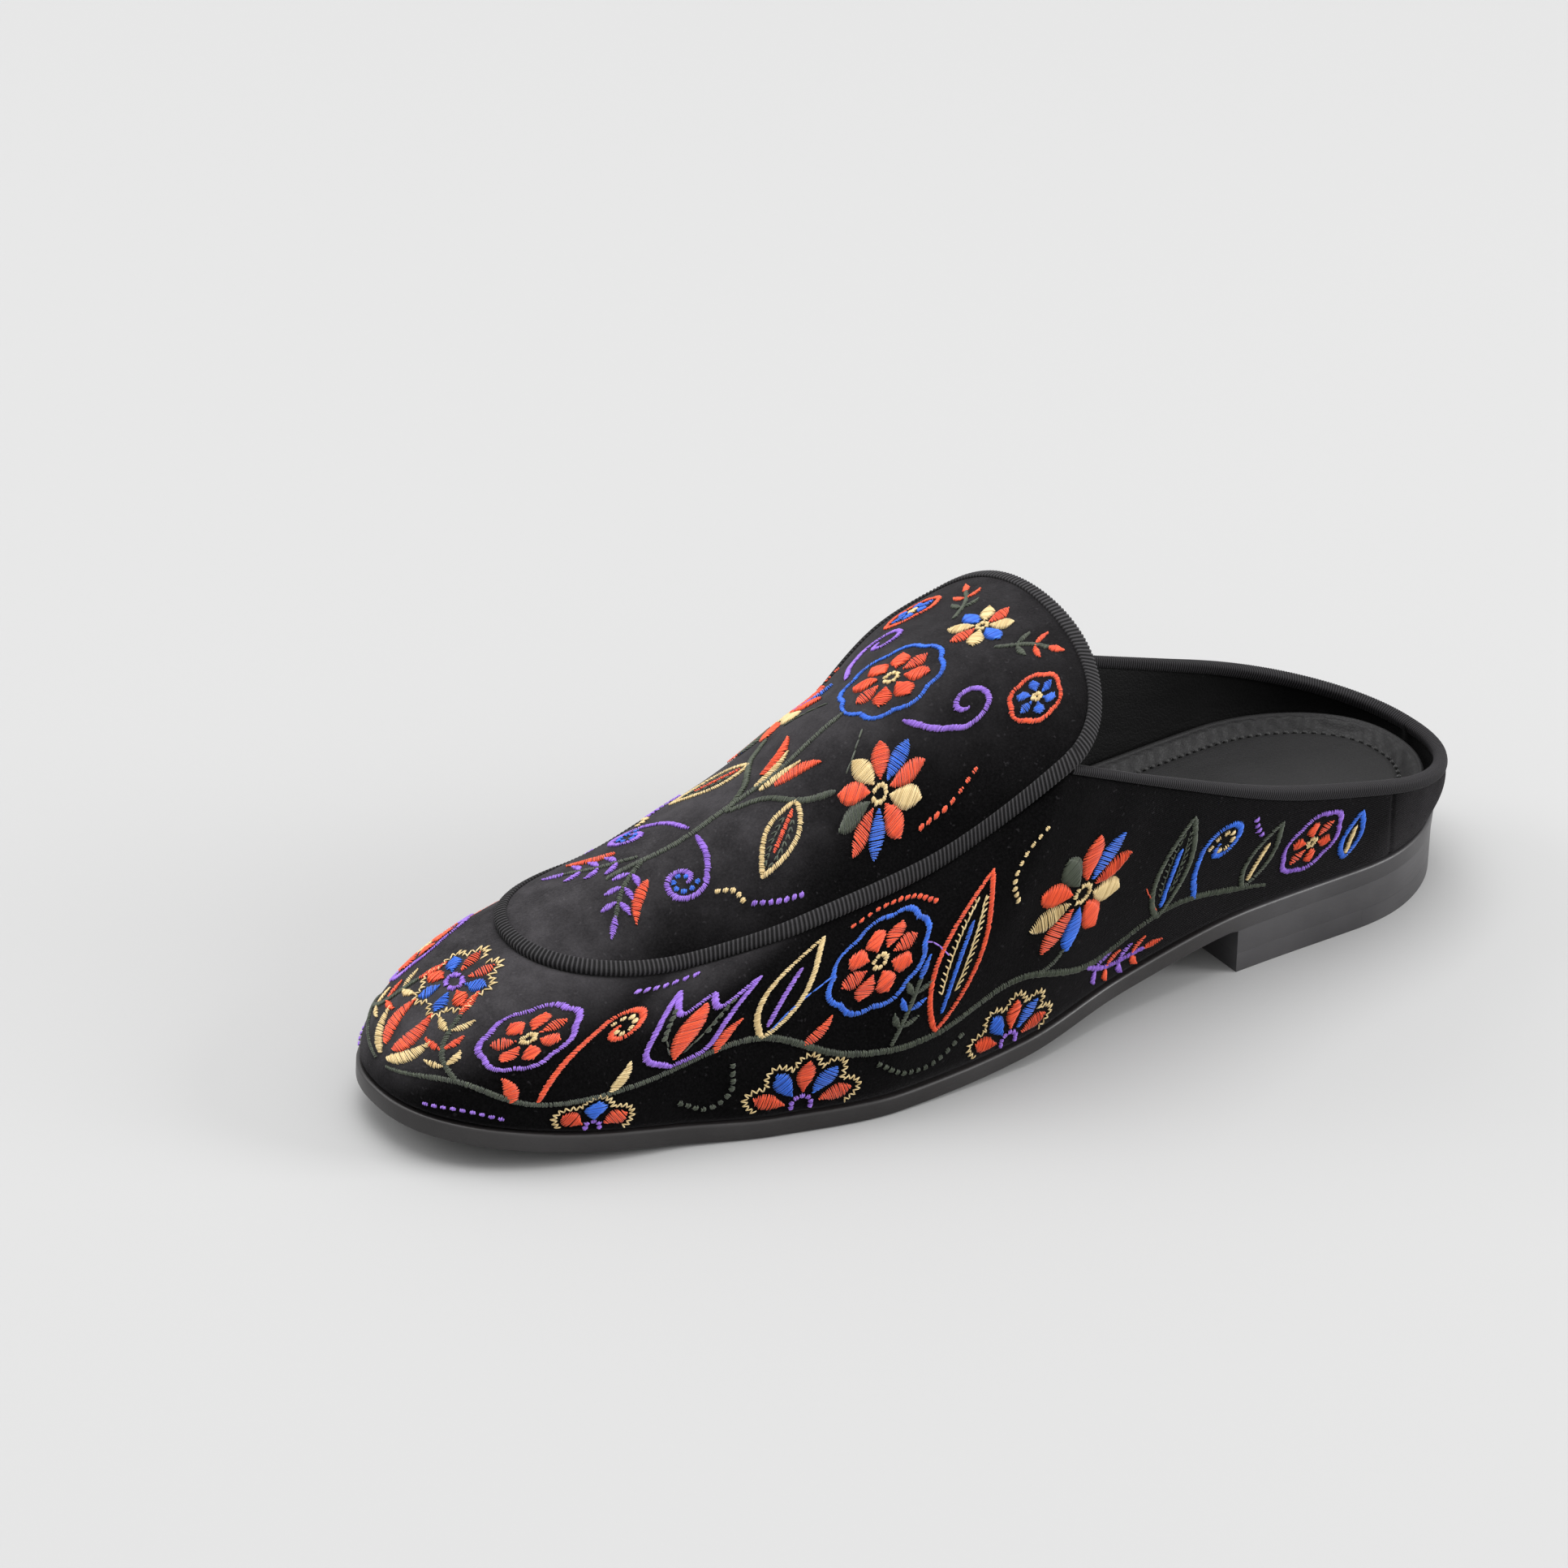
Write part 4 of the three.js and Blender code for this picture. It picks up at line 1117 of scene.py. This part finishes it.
def collar_ribbon():
    """A channel profile carried along the top line: outside, over the rim and down the inside.

    A profile point is (out, down) from the rim; its outer face is pushed out by the rib wave."""
    half = 700
    at = BACK + (CORNER - 0.003 - BACK) * np.sin(np.linspace(0, np.pi / 2, half)) ** 2
    at = np.concatenate([at[::-1], at[1:]])
    side = np.concatenate([-np.ones(half), np.ones(half - 1)])
    top = wall(at, side, np.ones_like(at))
    length = np.concatenate([[0], np.cumsum(np.linalg.norm(np.diff(top, axis=0), axis=1))])
    count = int(length[-1] / COLLAR_RIB) * RIB_STEPS
    steps = np.linspace(0, length[-1], count)
    station = np.interp(steps, length, np.where(side < 0, -(at - BACK), at - BACK))
    side = np.where(station < 0, -1.0, 1.0)
    at = BACK + np.abs(station)
    top = wall(at, side, np.ones(count))
    down = unit(wall(at, side, np.full(count, 0.86)) - top)
    along = unit(np.gradient(top, axis=0))
    out = unit(np.cross(down, along))
    out *= np.sign(np.sum(out * (top - [-40.0, 0.0, 40.0]), 1))[:, None]
    down = unit(np.cross(along, out))
    down *= -np.sign(down[:, 2:])
    wave = rib_wave(count)
    rib = COLLAR_RIB_DEPTH * wave
    thick = COLLAR_RIBBON_THICKNESS
    deep = COLLAR_RIBBON_DEPTH * (1 - COLLAR_TAPER * smooth(at, 0.20, 0.44))
    inside = -WALL
    profile = [
        (0.1, deep),
        (0.25 + rib * 0.6, deep - 0.1),
        (thick + rib, deep - 0.6),
        (thick + 0.05 + rib, deep * 0.5),
        (thick + rib, 0.2),
        (0.15 + rib * 0.6, -0.25 - rib * 0.7),
        (-0.5, -0.42 - rib),
        (inside + 0.5, -0.42 - rib),
        (inside - 0.15 - rib * 0.6, -0.25 - rib * 0.7),
        (inside - thick - rib, 0.2),
        (inside - thick - rib, deep * 0.6),
        (inside - 0.3 - rib * 0.5, deep - 0.2),
        (inside - 0.05, deep),
        (inside + 0.1, 0.1),
        (-0.1, 0.1),
    ]
    sections = []
    for values in profile:
        aside, below = np.broadcast_arrays(*values, wave)[:2]
        sections.append(top + out * aside[:, None] + down * below[:, None])
    points = np.stack(sections, 1)
    faces = strip_faces(count, len(profile), loop_columns=True)[:, ::-1].tolist()
    faces.append(list(range(len(profile)))[::-1])
    last = (count - 1) * len(profile)
    faces.append(list(range(last, last + len(profile))))
    return new_piece("collar_ribbon", points.reshape(-1, 3), faces, ribbon_uv(count, len(profile)))


collar_trim = collar_ribbon()
# Same ribbon as the apron's, with a dimmer painted highlight on its rib backs.
collar_trim.data.materials.append(ribbon("collar_ribbon", (0.034, 0.032, 0.035)))
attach(collar_trim, "root")
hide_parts("collar_binding")

# Embroidery. Flowers, leaves, scrolls and dotted curls in five colours of rayon thread: satin stitch for
# lines and petals, knots for dots, zigzags and thin travelling threads. Motifs are drawn flat, as complex
# numbers in millimetres, and each stitch is then laid on the velvet as a small raised strip.
STITCH_PITCH = 0.37
STITCH_WIDTH = 0.36
SATIN_WIDTH = 1.4
LIFT_OFF = 0.05
CHART_LENGTH = 300.0
THREADS = {  # dark and light tone of each thread
    "orange": ((0.55, 0.040, 0.010), (0.98, 0.125, 0.032)),
    "blue": ((0.012, 0.075, 0.42), (0.030, 0.19, 0.86)),
    "violet": ((0.17, 0.070, 0.42), (0.40, 0.20, 0.82)),
    "olive": ((0.022, 0.030, 0.018), (0.075, 0.092, 0.058)),
    "gold": ((0.52, 0.37, 0.15), (0.88, 0.70, 0.37)),
}
random = np.random.default_rng(7)


def path_through(*knots, count=80):
    """A smooth path through knots: cubics whose slope at a knot is half the step between its neighbours."""
    knot = np.array([2 * knots[0] - knots[1], *knots, 2 * knots[-1] - knots[-2]])
    t = np.linspace(0, len(knots) - 1, count)
    i = np.minimum(t.astype(int), len(knots) - 2)
    u = t - i
    before, here, there, after = (knot[i + k] for k in range(4))
    slope = (there - before) / 2
    turn = 2 * before - 5 * here + 4 * there - after
    bend = 3 * here - 3 * there + after - before
    return here + u * slope + u * u / 2 * turn + u ** 3 / 2 * bend


def even_path(path, pitch):
    """A path taken again at even steps of about the pitch, with its unit direction."""
    length = np.concatenate([[0], np.cumsum(np.abs(np.diff(path)))])
    steps = np.linspace(0, length[-1], max(int(round(length[-1] / pitch)) + 1, 3))
    points = np.interp(steps, length, path.real) + 1j * np.interp(steps, length, path.imag)
    ahead = np.gradient(points)
    return points, ahead / np.maximum(np.abs(ahead), 1e-9)


def arc(centre, radius, start, end, count=60):
    """Part of a circle between two angles in degrees."""
    return centre + radius * np.exp(1j * np.radians(np.linspace(start, end, count)))


def spiral(centre, radius, start, turns, inner=0.22):
    """A coil whose radius shrinks evenly to a share of the first one."""
    share = np.linspace(0, 1, 120)
    turn = np.radians(start) + 2 * np.pi * turns * share
    return centre + radius * (1 - (1 - inner) * share) * np.exp(1j * turn)


class Cloth:
    """Stitches drawn on a flat chart: for each thread its starts, ends and rises."""

    def __init__(self):
        self.drawn = {colour: [] for colour in THREADS}

    def add(self, colour, start, end, rise):
        """Adds stitches, each with a little looseness at both ends."""
        loose = random.normal(0, 0.07, (4, len(start)))
        start = start + loose[0] + 1j * loose[1]
        end = end + loose[2] + 1j * loose[3]
        self.drawn[colour].append((start, end, np.full(len(start), rise)))

    def satin(self, colour, path, wide=SATIN_WIDTH, shape=None):
        """Close stitches across a path, a little slanted; shape gives the share of the width along it."""
        points, ahead = even_path(path, STITCH_PITCH)
        share = np.linspace(0, 1, len(points))
        if shape is None:
            part = np.minimum(1, 0.55 + 9 * np.minimum(share, 1 - share))
        else:
            part = shape(share)
        across = ahead * 1j * np.maximum(wide * part, 0.5) / 2
        self.add(colour, points - across - ahead * 0.2, points + across + ahead * 0.2, 0.22 + 0.05 * wide)

    def petal(self, colour, base, tip, wide, bend=0.0, belly=0.75):
        """A filled petal: satin across a bent line, as wide as a sine of its share raised to a power."""
        share = np.linspace(0, 1, 40)
        line = base + (tip - base) * (share + 4j * bend * share * (1 - share))
        self.satin(colour, line, wide, lambda s: np.sin(np.pi * (0.03 + 0.95 * s) ** belly) ** 0.7)

    def dots(self, colour, path, pitch=1.8, size=1.2):
        """Knots along a path, each of four short stitches side by side."""
        points, ahead = even_path(path, pitch)
        for aside, part in ((-0.45, 0.75), (-0.15, 1.0), (0.15, 1.0), (0.45, 0.75)):
            middle = points + ahead * aside * size * 0.75
            across = 1j * ahead * size * part / 2
            self.add(colour, middle - across, middle + across, 0.38)

    def zigzag(self, colour, path, wide=1.7, pitch=1.15):
        """One thread that goes from side to side along a path."""
        points, ahead = even_path(path, pitch)
        left = points + 1j * ahead * wide / 2
        right = points + ahead * pitch / 2 - 1j * ahead * wide / 2
        self.add(colour, left, right, 0.2)
        self.add(colour, right[:-1], left[1:], 0.2)

    def run(self, colour, path, pitch=2.4):
        """A thin thread of single stitches, end to end."""
        points = even_path(path, pitch)[0]
        self.add(colour, points[:-1], points[1:], 0.12)

    def star(self, at, radius, facing, colours):
        """A star flower: filled petals all round a point, in turn of colours, over a ring of gold knots."""
        wide = radius * 4.1 / len(colours)
        for k, colour in enumerate(colours):
            way = np.exp(1j * np.radians(facing + 360 * k / len(colours)))
            self.petal(colour, at + way * radius * 0.26, at + way * radius, wide, 0.0, 1.2)
        self.dots("gold", arc(at, radius * 0.15, 0, 300), 1.2)

    def daisy(self, at, radius, petals, colour, ring, facing=0.0):
        """A daisy: short filled petals round gold knots, with a scalloped ring of another colour."""
        for k in range(petals):
            way = np.exp(1j * np.radians(facing + 360 * k / petals))
            self.petal(colour, at + way * radius * 0.32, at + way * radius * 0.86, radius * 0.46, 0.0, 1.3)
        turn = np.linspace(0, 2 * np.pi, 160)
        lobes = radius * (1.06 + 0.10 * np.abs(np.cos(petals * turn / 2)))
        self.satin(ring, at + lobes * np.exp(1j * (turn + np.radians(facing))), 1.2)
        self.dots("gold", arc(at, radius * 0.15, 0, 300), 1.2)

    def leaf(self, base, tip, wide, edge, rib, seeds="olive"):
        """A leaf: two outlines that meet at its ends, half a rib, and loose seed stitches between."""
        along = tip - base
        ahead = along / abs(along)
        share = np.linspace(0, 1, 50)
        bow = 1j * ahead * wide / 2 * np.sin(np.pi * share ** 0.85)
        self.satin(edge, base + along * share + bow, 1.3)
        self.satin(edge, base + along * share - bow, 1.3)
        self.satin(rib, base + along * np.linspace(0.12, 0.68, 20), 1.2)
        if seeds:
            row = np.linspace(0.24, 0.80, max(int(abs(along) / 2.2), 4))
            room = wide / 2 * np.sin(np.pi * row ** 0.85)
            for side in (1, -1):
                start = base + along * row + side * 1j * ahead * room * 0.36
                end = start + ahead + side * 1j * ahead * room * 0.26
                self.add(seeds, start, end, 0.15)
                self.add(seeds, start, start + (end - start) * np.exp(-0.8j * side), 0.15)

    def tulip(self, at, facing, size, edge, heart, veins):
        """A tulip: an outlined cup of three points, a filled heart in it and veins with dotted ends."""
        way = np.exp(1j * np.radians(facing)) * size / 20
        for side in (1, -1):
            cup = path_through(0, 3 + 6.5j * side, 10 + 8j * side, 19 + 9.5j * side, count=60)
            back = path_through(19 + 9.5j * side, 13 + 4.4j * side, 17 + 0j, count=40)
            self.satin(edge, at + way * cup, 1.35)
            self.satin(edge, at + way * back, 1.35)
            self.run(veins, at + way * path_through(3 + 1.5j * side, 8 + 4.6j * side, 14 + 6.2j * side))
            beads = path_through(7.5 + 4.9j * side, 10 + 5.5j * side, 14 + 6.6j * side)
            self.dots(veins, at + way * beads, 1.9)
        self.petal(heart, at + way * 2.0, at + way * 14.5, 5.6 * size / 20, 0.0, 1.1)

    def shell(self, at, radius, facing=90.0, lobes=5):
        """Half a flower with a lobed edge of gold zigzag, a filled petal in each lobe and violet knots at
        its foot. The edge's radius swells by a share of an absolute sine."""
        turn = np.linspace(-0.5, 0.5, 140) * np.pi
        swell = 0.80 + 0.24 * np.abs(np.sin(lobes * (turn + np.pi / 2)))
        edge = radius * swell * np.exp(1j * (turn + np.radians(facing)))
        self.zigzag("gold", at + edge * 1.04, 1.2, 1.25)
        for k in range(lobes):
            way = np.exp(1j * np.radians(facing - 90 + 180 * (k + 0.5) / lobes))
            tint = ("orange", "blue")[k % 2]
            foot = at + way * radius * 0.34
            self.petal(tint, foot, at + way * radius * 0.92, radius * 1.7 / lobes, 0.0, 1.3)
        self.dots("violet", at + edge * 0.22, 1.6, 1.1)

    def curl(self, colour, dotted, start, end, size, hand):
        """A scroll that leaves a point and coils up at another, with a dotted line inside it."""
        way = (end - start) / abs(end - start)
        turned = np.degrees(np.angle(-1j * way * hand))
        coil = spiral(end, size, turned, 1.05 * hand)
        lead = path_through(start, (start + coil[0]) / 2 + 1j * way * hand * size * -0.2, coil[0], count=40)
        self.satin(colour, np.concatenate([lead[:-1], coil]), 1.35)
        if dotted:
            self.dots(dotted, spiral(end, size * 0.62, turned, 0.8 * hand, 0.35), 1.9)

    def sprig(self, colour, leaves, *knots, size=4.6):
        """A stem through knots with small filled leaves in pairs along it, and one at its end."""
        stem = path_through(*knots)
        self.satin(colour, stem, 1.15)
        points, ahead = even_path(stem, size * 0.95)
        for k in range(1, len(points) - 1):
            tint = leaves[k % len(leaves)]
            for side in (1, -1):
                way = ahead[k] * np.exp(0.85j * side)
                root = points[k] + way * 0.7
                self.petal(tint, root, points[k] + way * size, size * 0.36, 0.06 * side, 0.9)
        self.petal(leaves[0], points[-1], points[-1] + ahead[-1] * size * 1.1, size * 0.4)


def bilinear(grid, i, j):
    """Values of a grid between its points."""
    low_i = np.clip(i.astype(int), 0, grid.shape[0] - 2)
    low_j = np.clip(j.astype(int), 0, grid.shape[1] - 2)
    part_i = (i - low_i)[..., None]
    part_j = (j - low_j)[..., None]
    first = grid[low_i, low_j] * (1 - part_j) + grid[low_i, low_j + 1] * part_j
    second = grid[low_i + 1, low_j] * (1 - part_j) + grid[low_i + 1, low_j + 1] * part_j
    return first * (1 - part_i) + second * part_i


def wall_side(side, rows=421, columns=61):
    """Points and outward normals of one side: rows from the heel to the toe, columns up from the sole."""
    at = BACK + (FRONT - BACK) * eased(rows - 1)[:, None]
    points = wall(*np.broadcast_arrays(at, side, np.linspace(0, 1, columns)))
    normals = grid_normals(points)
    normals *= np.sign(normals[rows // 2, columns // 2, 1]) * side
    return creased(points, normals), normals


def apron_side(rows=300, columns=141):
    """Points and outward normals of the apron: rows from the tongue to the toe, columns across."""
    along = np.linspace(0, 0.998, rows)[:, None]
    points = apron(*np.broadcast_arrays(along, np.linspace(-1, 1, columns)))
    normals = grid_normals(points)
    normals *= np.sign(normals[rows // 2, columns // 2, 2])
    return creased(points + normals * APRON_STEP, normals), normals


def chart_of(points, normals, middle, zero):
    """The chart of a grid for drawing on it, in millimetres: along its rows' middle column, and across.

    Returns a function of along and across that gives the point and the outward normal there, by bilinear
    interpolation; across is measured from the share zero of each row's width."""
    step = np.linalg.norm(np.diff(points[:, middle], axis=0), axis=1)
    along_table = np.concatenate([[0], np.cumsum(step)])
    wide_table = np.linalg.norm(np.diff(points, axis=1), axis=-1).sum(1)
    columns = points.shape[1] - 1

    def lookup(along, across):
        """The point and the outward normal at places of the chart."""
        i = np.interp(along, along_table, np.arange(len(points)))
        j = np.clip(across / np.interp(along, along_table, wide_table) + zero, 0, 1) * columns
        return bilinear(points, i, j), unit(bilinear(normals, i, j))

    return lookup, along_table[-1]


def side_flowers():
    """Drawing for one side: x from the back of the heel to the middle of the toe, y up from the sole."""
    cloth = Cloth()
    vine = (298 + 9j, 283 + 13j, 266 + 9j, 246 + 13j, 224 + 20j, 203 + 13j, 182 + 12j, 161 + 17j, 138 + 10j)
    vine += (116 + 13j, 96 + 8j, 88 + 6j)
    cloth.satin("olive", path_through(*vine, count=400), 1.5)
    cloth.star(149 + 31j, 12.5, 90, "orange blue orange gold orange blue orange gold orange olive".split())
    cloth.satin("olive", path_through(155 + 16j, 152 + 17j, 150 + 19j), 1.2)
    cloth.daisy(202 + 33j, 9.6, 8, "orange", "blue", 12)
    cloth.tulip(241 + 16j, 90, 20, "violet", "orange", "olive")
    cloth.leaf(182 + 13j, 179 + 47j, 12, "orange", "blue", "gold")
    cloth.leaf(223 + 20j, 221 + 42j, 9.5, "gold", "violet", None)
    cloth.daisy(276 + 26j, 7.2, 7, "orange", "violet", 25)
    cloth.curl("orange", "gold", 266 + 10j, 258 + 28j, 5.0, 1)
    cloth.sprig("olive", ("orange", "gold"), 283 + 13j, 289 + 19j, 292 + 28j, size=4.6)
    cloth.curl("blue", "gold", 110 + 12j, 108 + 24j, 5.6, 1)
    cloth.leaf(120 + 12j, 121 + 36j, 8.5, "olive", "blue")
    cloth.shell(211 + 2.0j, 11.5)
    cloth.shell(160 + 2.0j, 10.5)
    cloth.shell(254 + 2.0j, 8.0, 90, 3)
    cloth.daisy(79 + 14j, 6.4, 6, "orange", "violet", 10)
    cloth.leaf(95 + 8j, 92 + 23j, 7.0, "olive", "gold", None)
    cloth.leaf(66 + 6j, 67 + 18j, 5.0, "blue", "gold", None)
    for colour, *knots in (
        ("olive", 236 + 6j, 230 + 4j, 226 + 8j, 227 + 14j),
        ("olive", 195 + 9j, 188 + 5j, 180 + 5j, 174 + 9j),
        ("gold", 166 + 52j, 170 + 48j, 171 + 42j, 168 + 37j),
        ("violet", 97 + 22j, 99 + 24j, 101 + 27j),
        ("orange", 214 + 43j, 208 + 46j, 200 + 46.5j, 193 + 44j),
        ("violet", 262 + 37j, 256 + 37.5j, 250 + 39j),
    ):
        cloth.dots(colour, path_through(*knots), 1.9)
    cloth.sprig("violet", ("orange", "violet"), 140 + 10j, 132 + 6j, 121 + 5j, size=4.4)
    cloth.sprig("olive", ("blue", "olive"), 193 + 13j, 191 + 20j, 190 + 27j, size=4.2)
    for colour, base, tip, wide, bend in (
        ("orange", 213 + 17j, 209 + 22.5j, 2.8, 0.1),
        ("orange", 232 + 18j, 229.5 + 25j, 2.8, -0.1),
        ("gold", 252 + 12j, 251 + 19j, 2.6, 0.1),
        ("orange", 271 + 9.5j, 275 + 15.5j, 2.8, 0.1),
        ("orange", 298.6 + 14j, 297 + 25j, 3.4, 0.1),
        ("gold", 298.8 + 11j, 292.5 + 20j, 3.0, 0.1),
    ):
        cloth.petal(colour, base, tip, wide, bend)
    cloth.shell(299.4 + 32j, 7.0, 180, 4)
    cloth.dots("violet", path_through(287 + 4j, 279 + 5j, 272 + 4j), 1.9)
    cloth.run("violet", path_through(184 + 30j, 189 + 34j, 192 + 35j))
    cloth.run("blue", path_through(212 + 32j, 218 + 27j, 222 + 21j))
    cloth.run("orange", path_through(127 + 22j, 124 + 18j, 121 + 14j))
    return cloth


def apron_flowers():
    """Drawing for the apron: x from the tongue's free end to the toe, y across from the ridge."""
    cloth = Cloth()
    cloth.satin("olive", path_through(112 + 0j, 98 + 1j, 84 - 1j, 70 + 0j, 52 + 0j), 1.6)
    cloth.daisy(40 + 0j, 10.5, 8, "orange", "blue", 0)
    cloth.star(17 + 0j, 8.0, 0, ("orange", "gold", "blue", "gold") * 2)
    for flip in (np.positive, np.conj):
        for colour, strokes in apron_half().drawn.items():
            cloth.drawn[colour] += [(flip(start), flip(end), rise) for start, end, rise in strokes]
    return cloth


def apron_half():
    """The half of the apron's drawing that is mirrored over the ridge."""
    cloth = Cloth()
    cloth.star(55 + 26j, 11.5, 30, "orange blue orange gold orange blue orange gold orange olive".split())
    cloth.satin("olive", path_through(84 + 0j, 77 + 4j, 71 + 12j, 64 + 17j), 1.5)
    cloth.leaf(72 + 11j, 86 + 21j, 8.0, "gold", "orange")
    cloth.curl("violet", "blue", 92 + 2j, 100 + 11.5j, 5.0, -1)
    cloth.curl("violet", None, 44 + 15j, 31 + 22j, 5.8, 1)
    cloth.daisy(18 + 31j, 5.4, 6, "blue", "orange", 20)
    cloth.dots("orange", path_through(34 + 38j, 40 + 40j, 47 + 39j), 1.95)
    cloth.sprig("olive", ("orange", "olive"), 19 + 10j, 13 + 15j, 9 + 21j, size=4.6)
    cloth.dots("violet", path_through(89 + 25j, 84 + 28j, 79 + 30j), 1.95)
    cloth.sprig("olive", ("violet",), 104 + 1j, 111 + 5j, 116 + 10j, size=4.2)
    cloth.dots("gold", path_through(95 + 18j, 92 + 20j, 91 + 23j), 1.9)
    cloth.petal("orange", 73 + 3j, 63 + 8j, 3.2, 0.1)
    cloth.petal("gold", 76 + 1j, 66 + 3j, 2.4, 0.05)
    cloth.petal("orange", 106 + 7j, 113 + 14j, 2.8, -0.1)
    cloth.run("olive", path_through(52 + 9j, 56 + 13j, 60 + 16j))
    return cloth


def sew(name, cloths):
    """One mesh for each thread colour: the stitches of all cloths, each laid on its own chart."""
    for colour, (dark, light) in THREADS.items():
        laid = []
        for cloth, lookup, stretch in cloths:
            start, end, rise = (np.concatenate(parts) for parts in zip(*cloth.drawn[colour]))
            first, up = lookup(start.real * stretch, start.imag)
            last, up_last = lookup(end.real * stretch, end.imag)
            laid.append((first + up * LIFT_OFF, last + up_last * LIFT_OFF, unit(up + up_last), rise))
        starts, ends, ups, rises = (np.concatenate(parts) for parts in zip(*laid))
        tones = random.uniform(0, 1, len(rises))
        piece = stitches(f"{name}_{colour}", starts, ends, ups, STITCH_WIDTH, rises, tones)
        piece.data.materials.append(thread(f"thread_{colour}", dark, light, 0.38))
        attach(piece, "root")


side_cloth = side_flowers()
charts = []
for chart_side in (1.0, -1.0):
    chart_lookup, chart_length = chart_of(*wall_side(chart_side), 30, 0.0)
    charts.append((side_cloth, chart_lookup, chart_length / CHART_LENGTH))
charts.append((apron_flowers(), chart_of(*apron_side(), 70, 0.5)[0], 1.0))
sew("embroidery", charts)

# Stage. A plain pale floor under soft studio light: an even dome, a large lamp overhead, one from the toe's
# side that brings out the nap, and a small one behind the heel.
FLOOR_SIZE = 8.0
FLOOR_TONE = 0.40


def add_floor():
    """A flat pale square on which the shoe stands."""
    half = FLOOR_SIZE / 2
    mesh = bpy.data.meshes.new("floor")
    corners = [(-half, -half, 0), (half, -half, 0), (half, half, 0), (-half, half, 0)]
    mesh.from_pydata(corners, [], [(0, 1, 2, 3)])
    floor = bpy.data.objects.new("floor", mesh)
    bpy.context.scene.collection.objects.link(floor)
    tone = (FLOOR_TONE, FLOOR_TONE, FLOOR_TONE, 1)
    paper = finish_of("floor_paper", Base_Color=tone, Roughness=0.9, Specular_IOR_Level=0.1)[0]
    mesh.materials.append(paper)


def add_lamp(name, place, aim, size, watts):
    """A square soft lamp at a place, turned to face a point; metres and watts."""
    light = bpy.data.lights.new(name, "AREA")
    light.size = size
    light.energy = watts
    lamp = bpy.data.objects.new(name, light)
    lamp.location = place
    lamp.rotation_euler = (Vector(aim) - Vector(place)).to_track_quat("-Z", "Y").to_euler()
    bpy.context.scene.collection.objects.link(lamp)


def add_dome(strength):
    """Even light from all round."""
    world = bpy.data.worlds.new("dome")
    world.use_nodes = True
    background = world.node_tree.nodes["Background"]
    background.inputs["Color"].default_value = (1, 1, 1, 1)
    background.inputs["Strength"].default_value = strength
    bpy.context.scene.world = world


add_floor()
add_dome(0.85)
add_lamp("lamp_above", (0.2, -0.5, 3.0), (0, 0, 0.03), 2.6, 92.0)
add_lamp("lamp_toe", (2.1, -2.1, 1.8), (0.05, 0, 0.04), 1.6, 32.0)
add_lamp("lamp_heel", (-1.9, 1.3, 1.0), (-0.08, 0, 0.03), 1.0, 38.0)
bpy.context.scene.view_settings.view_transform = "Standard"

# Camera. It stands above and in front of the outer side, rolled a little, with a long lens; its values
# were fitted to points of the photo.
AZIMUTH = np.radians(140.64)
ELEVATION = np.radians(29.66)
ROLL = np.radians(5.5)
DISTANCE = 1.0
IMAGE_SIZE = 1932
FOCAL_PIXELS = 5841.6
AIM = np.array([0.0, 0.0, 30.0])
AIM_PIXEL = (1153.7, 1046.6)
SENSOR = 36.0


def add_camera():
    """The camera looks at AIM from its azimuth and elevation, then turns so that AIM falls on AIM_PIXEL."""
    away = np.array([
        np.sin(AZIMUTH) * np.cos(ELEVATION),
        -np.cos(AZIMUTH) * np.cos(ELEVATION),
        np.sin(ELEVATION),
    ])
    place = (AIM + SHIFT) * MM + away * DISTANCE
    right = unit(np.cross(-away, [0, 0, 1]))
    up = np.cross(right, -away)
    rolled_right = np.cos(ROLL) * right + np.sin(ROLL) * up
    rolled_up = -np.sin(ROLL) * right + np.cos(ROLL) * up
    off_x = (AIM_PIXEL[0] - IMAGE_SIZE / 2) / FOCAL_PIXELS
    off_y = (AIM_PIXEL[1] - IMAGE_SIZE / 2) / FOCAL_PIXELS
    forward = unit(-away - off_x * rolled_right + off_y * rolled_up)
    right = unit(rolled_right - forward * (rolled_right @ forward))
    up = np.cross(right, forward)
    data = bpy.data.cameras.new("camera")
    data.sensor_width = SENSOR
    data.lens = FOCAL_PIXELS * SENSOR / IMAGE_SIZE
    data.clip_end = 20.0
    camera = bpy.data.objects.new("camera", data)
    turn = np.eye(4)
    turn[:3, 0] = right
    turn[:3, 1] = up
    turn[:3, 2] = -forward
    turn[:3, 3] = place
    camera.matrix_world = Matrix(turn.tolist())
    bpy.context.scene.collection.objects.link(camera)
    bpy.context.scene.camera = camera


add_camera()
